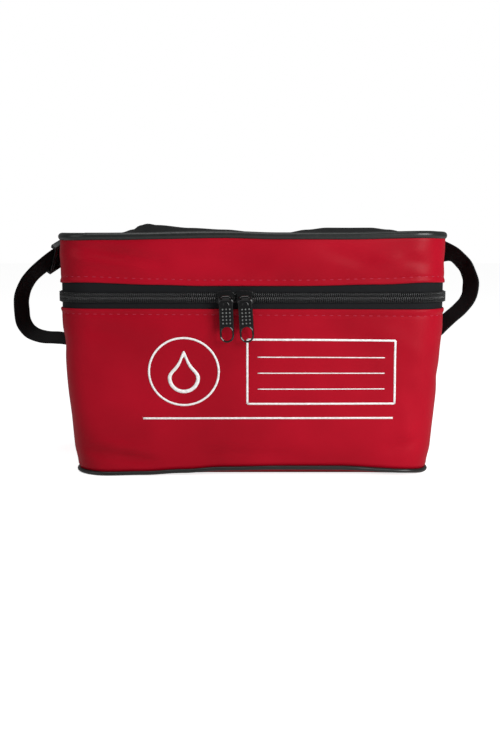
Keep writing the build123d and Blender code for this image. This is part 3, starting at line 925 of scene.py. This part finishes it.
class BAG_OT_padding(bpy.types.Operator):
    """Pad and line the body and the lid"""

    bl_idname = "bag.padding"
    bl_label = "Padding and lining"

    def execute(self, context):
        cut, shape = Cut(context.scene), context.scene.bag_shape
        # the foam keeps half a millimetre behind the fabric, so that creases don't reach it
        skin, foam, film = shape.fabric + 0.5 * MM, shape.foam - 0.5 * MM, shape.lining
        zip_sizes = context.scene.zip_sizes
        reach = shape.fabric + zip_sizes.tape
        inner = skin + foam
        lined = inner + film
        tape_low = shape.wall_top - zip_sizes.tape_reach
        tape_high = shape.skirt_bottom + zip_sizes.tape_reach
        floor = 2.9 * MM
        # body foam: up the outside, in behind the tape, over the top and down the inside
        body = heights(floor, tape_low - 0.1 * MM, 4 * MM, skin)
        body += [(tape_low - 0.1 * MM, reach, 0), (shape.wall_top, reach, 0), (shape.wall_top, inner, 0)]
        body += [*reversed(heights(floor, tape_low, 8 * MM, inner)), body[0]]
        top = shape.lid_top - 3.2 * MM
        lid = heights(tape_high + 0.1 * MM, top, 4 * MM, skin)
        lid += reversed(heights(shape.skirt_bottom, top, 8 * MM, inner))
        lid += [(shape.skirt_bottom, reach, 0), (tape_high + 0.1 * MM, reach, 0), lid[0]]
        for name, on, node, around in (
            ("body_foam", "bag_body", "wall_foam", body), ("lid_foam", "lid", "lid_side_foam", lid)
        ):
            self.closed(cut, around, name, on, [node], "foam", "insulating_foam")
        for name, on, node, finish, slot, fill, trim in (
            ("base_foam_pad", "bag_body", "base_foam", "foam", "insulating_foam", 0.5, 0.4 * MM),
            ("lid_foam_pad", "lid", "lid_top_foam", "foam", "insulating_foam", 0.5, 0.2 * MM),
            ("base_board", "bag_body", "base_stiffener", "board", "stiffener_board", None, 11 * MM),
        ):
            self.slab(cut, name, on, node, finish, slot, fill, trim)
        low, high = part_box("body_lining")[0].z + film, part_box("lid_lining")[1].z - film
        self.lining(cut, "body_lining_film", "bag_body", "body_lining", low, shape.wall_top, lined, -1)
        self.lining(cut, "lid_lining_film", "lid", "lid_lining", high, shape.skirt_bottom, lined, 1)
        bound = 0.8 * MM
        edge = lined + bound
        for name, body, node, height, side in (
            ("body_binding", "bag_body", "mouth_binding", shape.wall_top, -1),
            ("lid_binding_tape", "lid", "lid_binding", shape.skirt_bottom, 1),
        ):
            down = side * 8 * MM
            around = [
                (height, reach + 0.1 * MM, 0),
                (height - side * bound, reach + 0.2 * MM, 0),
                (height - side * bound, edge - 0.4 * MM, 0),
                (height - side * bound * 0.6, edge, 0),
                (height + down * 0.5, edge, 0.05 * MM),
                (height + down, edge, 0),
                (height + down, lined + 0.05 * MM, 0),
                (height + side * 0.05 * MM, lined + 0.05 * MM, 0),
                (height, reach + 0.1 * MM, 0),
            ]
            self.closed(cut, around, name, body, [node], "tape", "black_tape", fill=None)
        return {"FINISHED"}

    def closed(self, cut, around, name, body, nodes, finish, slot, fill=0.7):
        """A closed ring of padding or tape."""
        bm = wall_skin(cut, cut.ring(), around)
        bmesh.ops.recalc_face_normals(bm, faces=bm.faces)
        piece = to_piece(name, bm, MATERIALS[finish], body, nodes, sharp=50)

    def slab(self, cut, name, body, node, finish, slot, fill, trim):
        """A flat pad or board with its edges eased."""
        low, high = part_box(node)
        middle = (low.z + high.z) / 2
        inset = cut.plan(middle)[0] / 2 - high.x + trim
        edge = min(0.3 * (high.z - low.z), 1.2 * MM)
        levels = (
            (low.z + 0.05 * MM, edge), (low.z + edge, 0.0), (high.z - edge, 0.0), (high.z - 0.05 * MM, edge)
        )
        stations = cut.ring()

        def place(row, column):
            height, step = levels[row]
            spot, _ = cut.flat_spot(stations[column], middle, inset + step)
            return Vector((spot.x, spot.y, height))

        bm = loft(4, len(stations), place, lambda row, column: (stations[column], levels[row][0]))
        close_rims(bm)
        bmesh.ops.recalc_face_normals(bm, faces=bm.faces)
        piece = to_piece(name, bm, MATERIALS[finish], body, [node], sharp=50)

    def lining(self, cut, name, body, node, floor, mouth, inset, side):
        """A tray of lining film: its wall, a rounded corner and its floor, in soft waves."""
        stations = cut.ring()
        bend = 6 * MM
        depth = abs(mouth - floor)
        wall_rows, bend_rows, floor_rows = max(3, round(depth / (8 * MM))), 5, 12
        half_line = cut.half_straight_x - cut.half_straight_y

        def place(row, column):
            along = stations[column]
            if row <= wall_rows:
                share = row / wall_rows
                height = mouth + (floor + side * -bend - mouth) * share
                spot, out = cut.spot(along, height, inset)
                wave = noise.noise(spot * 28) * 0.45 * smooth(share * 4)
                return spot - out * max(wave, 0) * MM
            if row <= wall_rows + bend_rows:
                angle = (row - wall_rows) / bend_rows * math.pi / 2
                reach = bend * (1 - math.cos(angle))
                height = floor - side * bend * (1 - math.sin(angle))
                spot, _ = cut.flat_spot(along, height, inset + reach)
                return Vector((spot.x, spot.y, height))
            share = (row - wall_rows - bend_rows) / floor_rows
            edge, _ = cut.flat_spot(along, floor, inset + bend)
            core = Vector((min(max(edge.x, -half_line), half_line), 0, floor))
            spot = edge.lerp(core, share)
            wave = max(noise.noise(Vector((spot.x * 22, spot.y * 22, 1.7))), 0) * 0.5 * MM
            return Vector((spot.x, spot.y, floor - side * wave * smooth(share * 5)))

        rows = wall_rows + bend_rows + floor_rows + 1
        bm = loft(rows, len(stations), place, lambda row, column: (stations[column], row * 8 * MM))
        face_out(bm, Vector((0, 0, (floor + mouth) / 2)))
        bmesh.ops.reverse_faces(bm, faces=bm.faces)
        piece = to_piece(name, bm, MATERIALS["lining"], body, [node], thickness=0.5 * MM)


class BAG_OT_sliders(bpy.types.Operator):
    """Cast the sliders and their pulls"""

    bl_idname = "bag.sliders"
    bl_label = "Sliders and pulls"

    def execute(self, context):
        scene = context.scene
        sizes, shape = scene.zip_sizes, scene.bag_shape
        for name, x, nose, lean in (
            ("left", sizes.left_slider, 1, 2.0),
            ("right", sizes.right_slider, -1, 3.2),
        ):
            self.slider(f"{name}_slider_body", f"{name}_slider", x, nose, shape.split)
            self.pull(f"{name}_pull_tab", f"{name}_pull", x, lean, shape, sizes)
        return {"FINISHED"}

    def slider(self, name, node, x, nose, split):
        """Two boat-shaped plates, the wedge between them, a flange and the crown."""
        bm = bmesh.new()
        half_plate = ((-6.5, 4.3), (-5.8, 4.9), (2.4, 5.7), (3.9, 5.5), (6.2, 4.0), (6.5, 3.4))
        outline = [(a, -b) for a, b in half_plate] + [*reversed(half_plate)]
        for front, back in ((-98.3, -97.1), (-93.1, -91.9)):
            rim = [bm.verts.new((x + nose * a * MM, front * MM, split + b * MM)) for a, b in outline]
            made = bmesh.ops.extrude_face_region(bm, geom=[bm.faces.new(rim)])["geom"]
            fresh = [v for v in made if isinstance(v, bmesh.types.BMVert)]
            bmesh.ops.translate(bm, verts=fresh, vec=(0, (back - front) * MM, 0))
        middle = Matrix.Translation((x, 0, split))
        block(bm, middle, (nose * 4.0, -95.1, 0), (3.0, 4.2, 0.8))
        block(bm, middle, (0, -95.75, -4.6), (8.0, 3.1, 1.2))
        bmesh.ops.recalc_face_normals(bm, faces=bm.faces)
        ease(bm, 0.28 * MM)
        # the crown: a flat arch over the front plate
        bend, half, out, foot = 1.6, 4.6, 101.4, 98.0
        points = [(-half, -foot), (-half, -out + bend)]
        for a in (0.4, 0.8, 1.2, 1.57):
            points.append((-half + bend - bend * math.cos(a), -out + bend - bend * math.sin(a)))
        points += [(0, -out - 0.05)]
        points += [(-a, b) for a, b in reversed(points[:-1])]
        line = [Vector((x + a * MM, b * MM, split)) for a, b in points]
        section = [(0.75, 0.45), (0.45, 0.75), (-0.45, 0.75), (-0.75, 0.45)]
        section += [(-a, -b) for a, b in section]
        join(bm, sweep([(a * MM, b * MM) for a, b in section], line, framed(line, [UP] * len(line))))
        to_piece(name, bm, MATERIALS["enamel"], node, [node], sharp=40)

    def bead(self, bm, loop, height, radius, closed=True):
        """Adds a raised round bead along a flat outline."""
        line = [Vector((a * MM, b * MM, height)) for a, b in loop]
        if closed:
            line.append(line[0])
        last = len(line) - 1
        frames = []
        for index in range(len(line)):
            before = line[index - 1] if index else line[last - 1 if closed else 0]
            after = line[index + 1] if index < last else line[1 if closed else last]
            frames.append(((after - before).normalized().cross(UP), UP))
        join(bm, sweep(round_section(radius, 8), line, frames, closed=closed))

    def pull(self, name, node, x, lean, shape, sizes):
        """A pull: plate with a wide hole, raised rims, dots, an arch on its neck, a rolled knuckle."""
        half, end = sizes.pull_width / 2 / MM, -sizes.pull_length / MM
        columns = 64
        # the plate's upper edge, its upper corners' radius and that of its foot
        top, corner, foot = -1.0, 1.6, half

        def outer(share):
            """A spot of the outline: arcs at the four corners, straight between."""
            angle = math.tau * share
            a, b = math.cos(angle), math.sin(angle)
            radius = corner if b > 0 else foot
            middle = top - corner if b > 0 else end + foot
            return (half - radius) * (1 if a > 0 else -1) + radius * a, middle + radius * b

        centre, stretch, wide = end + 1.15 + 5.6, 1.4, half - 1.25

        def hole(share):
            """A spot of the hole, at the same share of a turn."""
            angle = math.tau * share
            b = math.sin(angle)
            return wide * math.cos(angle), centre + wide * b + (stretch if b > 0 else -stretch)

        outline = [outer(i / columns) for i in range(columns)]
        inner = [hole(i / columns) for i in range(columns)]
        front, thick = 1.0 * MM, 0.8 * MM
        face = front + thick
        rings = ((outline, front), (outline, face), (inner, face), (inner, front), (outline, front))

        def place(row, column):
            loop, height = rings[row]
            a, b = loop[column % columns]
            return Vector((a * MM, b * MM, height))

        bm = loft(5, columns + 1, place, lambda row, column: (row * MM, column * MM))
        # the rim's bead lies on the plate's outline, in by this much
        rim = 0.45
        trimmed = []
        for a, b in outline:
            lift = rim if b < centre else -rim if b > top - corner else 0
            trimmed.append((a * (half - rim) / half, b + lift))
        lip = [(a * 1.08, centre + (b - centre) * 1.05) for a, b in inner]
        arch = [(2.3 * math.cos(a), -5.6 + 2.4 * math.sin(a)) for a in [math.pi * i / 10 for i in range(11)]]
        self.bead(bm, trimmed, front + thick / 2, 0.62 * MM)
        self.bead(bm, lip, front + thick / 2, 0.55 * MM)
        self.bead(bm, arch, face, 0.28 * MM, closed=False)
        dots, size = bmesh.new(), Matrix.Diagonal((0.7 * MM, 0.7 * MM, 0.6 * MM, 1))
        for row in range(5):
            for column in (-1, 0, 1):
                spot = Vector((column * 2.8 * MM, (-8.8 - 2.75 * row) * MM, face))
                move = Matrix.Translation(spot) @ size
                bmesh.ops.create_uvsphere(dots, u_segments=10, v_segments=6, radius=1, matrix=move)
        # stand the plate up, then roll the knuckle round the crown bar
        upright = Matrix.Rotation(math.pi / 2, 4, "X")
        bmesh.ops.transform(bm, matrix=upright, verts=bm.verts)
        profile = [(1.28, -2.8), (1.9, -2.8), (2.1, -2.6), (2.1, 2.6), (1.9, 2.8), (1.28, 2.8)]
        ring = bmesh.new()
        verts = [ring.verts.new((along * MM, 0, r * MM)) for r, along in profile]
        edges = [ring.edges.new((verts[i], verts[(i + 1) % 6])) for i in range(6)]
        bmesh.ops.spin(
            ring, geom=verts + edges, cent=(0, 0, 0), axis=(1, 0, 0), angle=math.tau, steps=24,
            use_merge=True, use_duplicate=False,
        )
        bmesh.ops.recalc_face_normals(ring, faces=ring.faces)
        join(bm, ring)
        turn = Matrix.Rotation(math.radians(-lean), 4, "Y")
        pivot = Matrix.Translation((x, -sizes.crown, shape.split))
        bmesh.ops.transform(bm, matrix=pivot @ turn, verts=bm.verts)
        bmesh.ops.recalc_face_normals(bm, faces=bm.faces)
        to_piece(name, bm, MATERIALS["enamel"], node, [node], sharp=40)
        # the dots carry the light grey of the painted highlight
        bmesh.ops.transform(dots, matrix=pivot @ turn @ upright, verts=dots.verts)
        to_piece(f"{name}_dots", dots, MATERIALS["dot_highlight"], node)


class BAG_OT_straps(bpy.types.Operator):
    """Lay the shoulder strap and the webbing over the lid"""

    bl_idname = "bag.straps"
    bl_label = "Webbing"

    # stations of the strap's middle, in mm: out from the side, back, height, twist in degrees
    left_loop = [
        (9, 0, 99.5, 8), (13.5, 0, 102.2, 14), (22, 0, 103.8, 18), (34, 0, 104.5, 18),
        (45, 0, 108.5, 18), (51.5, 0, 117, 18), (53, 0, 128, 18), (53, 1, 139.5, 18),
        (49, 3, 151, 16), (42, 6, 160.5, 14),
    ]
    right_loop = [
        (9, 0, 104, 8), (14.5, 0, 111.5, 16), (23, 0, 120.5, 18), (32.5, 0, 129, 18),
        (39.5, 0, 138, 18), (42.5, 3, 149, 18), (40.5, 8, 162, 9), (34.5, 15, 172, 2),
        (26, 24, 179, -4),
    ]
    behind_left = [
        (16, 41, 179, 24), (14, 52, 173, 42), (13, 62, 160.5, 60), (12.5, 73, 143, 72),
        (12.5, 86, 122, 80), (12, 98, 101, 80), (8, 108, 84, 74), (-3, 115, 73, 64),
        (-20, 116, 65, 50), (-45, 111.5, 59, 34), (-80, 106, 55, 16), (-120, 103, 53.5, 6),
    ]
    behind_right = [
        (19, 34, 180, 2), (15, 46, 176, 20), (13, 58, 165.5, 42), (12.5, 71, 147, 56),
        (12.5, 85, 123, 62), (12, 98, 101, 62), (8, 108, 84, 56), (-3, 115, 73, 46),
        (-20, 116, 65, 32), (-45, 111.5, 59, 16), (-80, 106, 55, -2), (-120, 103, 53.5, -12),
    ]

    def execute(self, context):
        scene = context.scene
        self.cut, self.shape, self.sizes = Cut(scene), scene.bag_shape, scene.strap_sizes
        # the adjuster's middle and run, in mm, and how far its end bars reach
        place, run = Vector((25, 21, 175)), Vector((-0.52, 0.75, 0.40)).normalized()
        reach = 8.85
        straight = [(*(place + run * away), 14) for away in (-reach - 3, -reach, 0, reach, reach + 3)]
        left_end, right_end = (self.sewn_end(side) for side in (-1, 1))
        left = self.planes(-1, left_end + self.left_loop + straight + self.behind_left)
        right = self.planes(1, right_end + self.right_loop + self.behind_right)
        threaded = len(left_end) + len(self.left_loop) + 2
        self.adjuster(*left[threaded])
        home = [(spot, wide, -along) for spot, wide, along in reversed(right)]
        self.ribbon("shoulder_strap_left_end", left[: threaded + 1], "shoulder_strap_short")
        self.ribbon("shoulder_strap_run", left[threaded:] + home, "shoulder_strap_long")
        self.handle()
        self.patches()
        return {"FINISHED"}

    def side_middle(self, side):
        """Where the middle of a side lies along the girth."""
        along = self.cut.runs[0] + self.cut.runs[1] + self.cut.half_straight_y
        return along if side < 0 else self.cut.girth - along

    def sewn_end(self, side):
        """Stations of the strap's sewn end, on the soft wall over its patch."""
        stations = []
        for height in (73, 80, 87, 94):
            spot, _ = self.cut.spot(self.side_middle(side), height * MM, 0.0, 2.0 * MM)
            stations.append(((abs(spot.x) - self.shape.top_width / 2) / MM, 0, height, 0))
        return stations

    def planes(self, side, route):
        """Place, width direction and forward direction at each station."""
        places = [Vector(station[:3]) for station in route]
        wide = Vector((0, -1, 0))
        made = []
        for index, place in enumerate(places):
            before = places[index - 1] if index else place * 2 - places[1]
            after = places[index + 1] if index + 1 < len(places) else place * 2 - before
            along = ((after - place).normalized() + (place - before).normalized()).normalized()
            wide = (wide - along * wide.dot(along)).normalized()
            twisted = Matrix.Rotation(math.radians(route[index][3]), 3, along) @ wide
            spot = Vector((side * (self.shape.top_width / 2 / MM + place.x), place.y, place.z)) * MM
            across, ahead = (Vector((side * v.x, v.y, v.z)) for v in (twisted, along))
            made.append((spot, across, ahead))
        return made

    def ribbon(self, name, planes, node):
        """Webbing through the stations on a smooth line."""
        line, frames = [], []
        count = len(planes)
        for index in range(count - 1):
            p0, p1 = planes[max(index - 1, 0)], planes[index]
            p2, p3 = planes[index + 1], planes[min(index + 2, count - 1)]
            steps = max(2, round((p2[0] - p1[0]).length / (2.2 * MM)))
            for step in range(steps + (index == count - 2)):
                t = step / steps
                spot = 0.5 * (
                    2 * p1[0]
                    + (p2[0] - p0[0]) * t
                    + (2 * p0[0] - 5 * p1[0] + 4 * p2[0] - p3[0]) * t * t
                    + (3 * p1[0] - p0[0] - 3 * p2[0] + p3[0]) * t**3
                )
                line.append(spot)
                frames.append(p1[1].lerp(p2[1], smooth(t)).normalized())
        section = webbing_section(self.sizes.width, self.sizes.thickness)
        bm = sweep(section, line, framed(line, frames))
        to_piece(name, bm, MATERIALS["webbing"], "bag_body", [node], sharp=60)

    def adjuster(self, spot, wide, along):
        """A three-bar adjuster: two rails, end bars under the webbing, a middle bar over it."""
        face = wide.cross(along)
        place = Matrix((wide, along, face)).transposed().to_4x4()
        place.translation = spot
        bm = bmesh.new()
        low = -2.65
        blocks = [((side * 14.55, 0, 0), (3.4, 17, 5.3)) for side in (-1, 1)]
        blocks += [((0, y, low + 0.75), (29.2, 4, 1.5)) for y in (-5.65, 5.65)]
        blocks += [((0, 0, -low - 0.75), (29.2, 4, 1.5))]
        for middle, size in blocks:
            block(bm, place, middle, size)
        ease(bm, 0.55 * MM)
        finish, nodes = MATERIALS["acetal"], ["strap_adjuster"]
        to_piece("strap_adjuster_buckle", bm, finish, "bag_body", nodes, sharp=45)

    def handle(self):
        """Webbing across the lid, slack in two humps, its ends in the piping's seam."""
        base = (self.shape.lid_top + 0.8 * MM + self.sizes.thickness / 2) / MM
        left = [(-116, 0), (-105, 3.0), (-98, 6.8), (-92.5, 8.2), (-84, 7.0), (-55, 4.4), (-25, 2.9), (8, 0)]
        right = [(30, 0), (48, 2.8), (66, 4.6), (84, 4.5), (104, 4.6), (120, 2.9), (137, 0)]
        keys = [(-145, 0), *left, *right, (145, 0)]
        line, wides = [], []
        steps = 150
        half = self.sizes.width / 2 / MM
        for index in range(steps + 1):
            x = -144.5 + 289 * index / steps
            rise = keyed(x, keys)
            # the near edge lies on the lid and the far edge rises
            tilt = math.asin(rise / 2 / half)
            line.append(Vector((x, 0, base + rise / 2 + 0.5)) * MM)
            wides.append(Vector((0, math.cos(tilt), math.sin(tilt))))
        section = webbing_section(self.sizes.width, self.sizes.thickness)
        bm = sweep(section, line, framed(line, wides))
        to_piece("lid_webbing", bm, MATERIALS["webbing"], "lid", ["grab_handle"], sharp=60)

    def patches(self):
        """Sewn squares of doubled fabric under the strap's ends, and the box of stitches."""
        cut = self.cut
        for node, side in (("strap_patch_left", -1), ("strap_patch_right", 1)):
            along = self.side_middle(side)
            low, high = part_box(node)
            rows, columns = 18, 19

            def place(row, column):
                height = low.z + (high.z - low.z) * row / (rows - 1)
                rim = min(row, rows - 1 - row, column, columns - 1 - column)
                away = (column - (columns - 1) / 2) * 2 * MM
                return cut.spot(along + away, height, 0.0, (0.8 if rim else 0.3) * MM)[0]

            bm = loft(rows, columns, place, lambda row, column: (column * 2 * MM, row * 2 * MM))
            face_out(bm, Vector((0, 0, low.z)))
            nodes = [node]
            to_piece(
                f"{node}_fabric", bm, MATERIALS["red"], "bag_body", nodes, thickness=0.7 * MM
            )
            middle = (low.z + high.z) / 2 / MM
            # a crossed box through the strap, and a square round the patch's edge
            for row, half_y, half_z, mid_z, order, rise, length, radius, finish, slot in (
                ("strap", 10.5, 8.5, 84.0, (0, 1, 2, 3, 0, 2, 1, 3), 2.55, 2.2, 0.3, "thread_black",
                 "black_webbing"),
                ("edge", 16.2, 15.2, middle, (0, 1, 2, 3, 0), 0.85, 2.4, 0.28, "thread_red", "red_fabric"),
            ):
                corners = ((-half_y, -half_z), (half_y, -half_z), (half_y, half_z), (-half_y, half_z))
                loop, places = [corners[i] for i in order], []
                for (y0, z0), (y1, z1) in zip(loop, loop[1:]):
                    count = max(2, round(math.dist((y0, z0), (y1, z1)) / 3.4))
                    for index in range(count):
                        t = (index + 0.5) / count
                        y, z = y0 + (y1 - y0) * t, mid_z + z0 + (z1 - z0) * t
                        spot, _ = cut.spot(along + side * y * MM, z * MM, 0.0, rise * MM)
                        run = Vector((0, y1 - y0, z1 - z0)).normalized()
                        places.append((spot, run, Vector((side, 0, 0))))
                thread = bmesh.new()
                stitch_row(thread, places, length * MM, radius * MM)
                to_piece(f"{node}_{row}_stitches", thread, MATERIALS[finish], "bag_body")


class BAG_OT_stitches(bpy.types.Operator):
    """Run the rows of stitches along the folded edges"""

    bl_idname = "bag.stitches"
    bl_label = "Stitches"

    def execute(self, context):
        scene = context.scene
        cut, shape, sizes = Cut(scene), scene.bag_shape, scene.strap_sizes
        for name, body, height in (
            ("wall_edge_stitches", "bag_body", shape.wall_top - sizes.stitch_row),
            ("skirt_edge_stitches", "lid", shape.skirt_bottom + sizes.stitch_row),
        ):
            bm = bmesh.new()
            places = wall_stitches(cut, sizes, height, -0.2 * MM)
            stitch_row(bm, places, sizes.stitch_length, sizes.thread)
            to_piece(name, bm, MATERIALS["thread_red"], body)
        return {"FINISHED"}


class BAG_OT_print(bpy.types.Operator):
    """Print the generic white label field on the front"""

    bl_idname = "bag.label_field"
    bl_label = "Label field"

    def execute(self, context):
        cut = Cut(context.scene)
        bm = bmesh.new()
        front = cut.runs[0] + cut.runs[1] + cut.runs[2] + cut.runs[3] + cut.half_straight_x

        def on_front(x, z):
            """The spot of the soft front at an x and height in mm."""
            height = z * MM
            share = x * MM / (cut.plan(height)[0] / 2 - cut.plan(height)[2])
            return cut.spot(front + share * cut.half_straight_x, height, 0.0, 0.12 * MM)[0]

        def bar(x0, z0, x1, z1, half):
            """A printed line."""
            run = Vector((x1 - x0, z1 - z0))
            side = Vector((-run.y, run.x)).normalized() * half
            steps = max(2, round(run.length / 3))

            def place(row, column):
                spot = Vector((x0, z0)) + run * row / steps + side * (column - 1)
                return on_front(*spot)

            join(bm, loft(steps + 1, 3, place, lambda row, column: (row * 3 * MM, column * half * MM)))

        def ring(x, z, radius, half, point=0.0):
            """A printed ring, or a drop when it has a point."""
            def place(row, column):
                a = math.tau * row / 64
                reach = radius + half * (column - 1)
                stretch = 1 + point * max(math.sin(a), 0) ** 6
                pinch = 1 - 0.55 * (point > 0) * max(math.sin(a), 0) ** 2
                return on_front(x + reach * math.cos(a) * pinch, z + reach * math.sin(a) * stretch)

            join(bm, loft(65, 3, place, lambda row, column: (row * MM, column * MM)))

        ring(-53, 86, 27, 0.8)
        ring(-53, 81, 11, 1.4, 0.75)
        left, right, top, bottom = -4, 110, 112, 60
        for x0, z0, x1, z1 in (
            (left, top, right, top), (left, bottom, right, bottom),
            (left, bottom, left, top), (right, bottom, right, top),
        ):
            bar(x0, z0, x1, z1, 0.8)
        for z in (98, 85, 72):
            bar(left + 8, z, right - 8, z, 0.4)
        bar(-85, 48, 109, 48, 0.8)
        face_out(bm, Vector((0, 0, 80 * MM)))
        to_piece("printed_label_field", bm, MATERIALS["ink"], "bag_body", thickness=0.1 * MM)
        return {"FINISHED"}


class BAG_OT_stage(bpy.types.Operator):
    """Set up the floor, the light and the camera"""

    bl_idname = "bag.stage"
    bl_label = "Stage"

    def execute(self, context):
        scene = context.scene
        floor_bm = bmesh.new()
        bmesh.ops.create_grid(floor_bm, x_segments=1, y_segments=1, size=6.0)
        mesh = bpy.data.meshes.new("floor")
        floor_bm.to_mesh(mesh)
        floor_bm.free()
        floor = bpy.data.objects.new("floor", mesh)
        scene.collection.objects.link(floor)
        material, tree = new_material("white_studio_floor")
        matt = {"Roughness": 0.9, "Base Color": (0.86, 0.86, 0.86, 1)}
        plain = add_node(tree, "ShaderNodeBsdfPrincipled", matt)
        white = add_node(tree, "ShaderNodeEmission", {"Strength": 0.8})
        both = add_node(tree, "ShaderNodeAddShader", links={0: plain.outputs[0], 1: white.outputs[0]})
        finish_material(tree, self.as_seen(tree, both, plain))
        mesh.materials.append(material)

        world = bpy.data.worlds.new("studio")
        scene.world = world
        world.use_nodes = True
        tree = world.node_tree
        tree.nodes.clear()
        room, backdrop = (
            add_node(tree, "ShaderNodeBackground", {"Color": (1, 1, 1, 1), "Strength": strength})
            for strength in (0.2, 1.0)
        )
        mix = self.as_seen(tree, backdrop, room)
        add_node(tree, "ShaderNodeOutputWorld", links={"Surface": mix.outputs[0]})

        for name, spot, aim, size, power in (
            ("key", (0.6, -0.75, 0.45), (0, 0, 0.12), 0.5, 8.0),
            ("top", (-0.1, -0.2, 1.3), (0, 0, 0.15), 0.7, 4),
            ("fill", (-1.2, -0.9, 0.7), (0, 0, 0.1), 0.9, 3),
        ):
            data = bpy.data.lights.new(name, "AREA")
            data.size, data.energy = size, power
            lamp = bpy.data.objects.new(name, data)
            scene.collection.objects.link(lamp)
            lamp.location = spot
            lamp.rotation_mode = "QUATERNION"
            lamp.rotation_quaternion = (Vector(aim) - Vector(spot)).to_track_quat("-Z", "Y")

        camera_data = bpy.data.cameras.new("camera")
        # the photograph is 500 by 750 pixels, 1016 pixels of focal length
        camera_data.sensor_width = 36.0
        camera_data.lens = 1016 / 750 * 36
        camera_data.dof.use_dof = False
        camera = bpy.data.objects.new("camera", camera_data)
        scene.collection.objects.link(camera)
        camera.location = (-0.002, -0.895, 0.1945)
        camera.rotation_euler = (math.radians(90 - 7.9), 0, 0)
        scene.camera = camera
        scene.view_settings.view_transform = "Standard"
        return {"FINISHED"}

    def as_seen(self, tree, seen, lit):
        """One shader for the camera's own view and another for the light that falls on the bag."""
        path = add_node(tree, "ShaderNodeLightPath").outputs
        rays = {0: path["Is Camera Ray"], 1: path["Is Transmission Ray"]}
        straight = add_node(tree, "ShaderNodeMath", {"operation": "MAXIMUM"}, rays).outputs[0]
        links = {0: straight, 1: lit.outputs[0], 2: seen.outputs[0]}
        return add_node(tree, "ShaderNodeMixShader", links=links)


class BAG_PT_panel(bpy.types.Panel):
    """Lists the bag's pieces"""

    bl_label = "Insulated Bag"
    bl_idname = "BAG_PT_panel"
    bl_space_type = "VIEW_3D"
    bl_region_type = "UI"
    bl_category = "Insulated Bag"

    def draw(self, context):
        for operator in OPERATORS:
            self.layout.operator(operator.bl_idname)


OPERATORS = (
    BAG_OT_shell,
    BAG_OT_panels,
    BAG_OT_piping,
    BAG_OT_zip,
    BAG_OT_hinge,
    BAG_OT_padding,
    BAG_OT_sliders,
    BAG_OT_straps,
    BAG_OT_stitches,
    BAG_OT_print,
    BAG_OT_stage,
)
GROUPS = {
    "bag_shape": BagShape,
    "zip_sizes": ZipSizes,
    "strap_sizes": StrapSizes,
    "bag_colours": BagColours,
}
MATERIALS = {}


def register():
    """Registers the sizes, the operators and the panel."""
    for name, group in GROUPS.items():
        bpy.utils.register_class(group)
        setattr(bpy.types.Scene, name, PointerProperty(type=group))
    for operator in OPERATORS:
        bpy.utils.register_class(operator)
    bpy.utils.register_class(BAG_PT_panel)


def unregister():
    """Takes them out again."""
    bpy.utils.unregister_class(BAG_PT_panel)
    for operator in reversed(OPERATORS):
        bpy.utils.unregister_class(operator)
    for name, group in GROUPS.items():
        delattr(bpy.types.Scene, name)
        bpy.utils.unregister_class(group)


def main():
    """Builds the bag round its frame."""
    register()
    MATERIALS.update(make_materials(bpy.context.scene.bag_colours))
    bpy.ops.bag.shell()
    bpy.ops.bag.panels()
    bpy.ops.bag.piping()
    bpy.ops.bag.zip_tapes()
    bpy.ops.bag.hinge()
    bpy.ops.bag.padding()
    bpy.ops.bag.sliders()
    bpy.ops.bag.straps()
    bpy.ops.bag.stitches()
    bpy.ops.bag.label_field()
    bpy.ops.bag.stage()


if __name__ == "__main__":
    main()
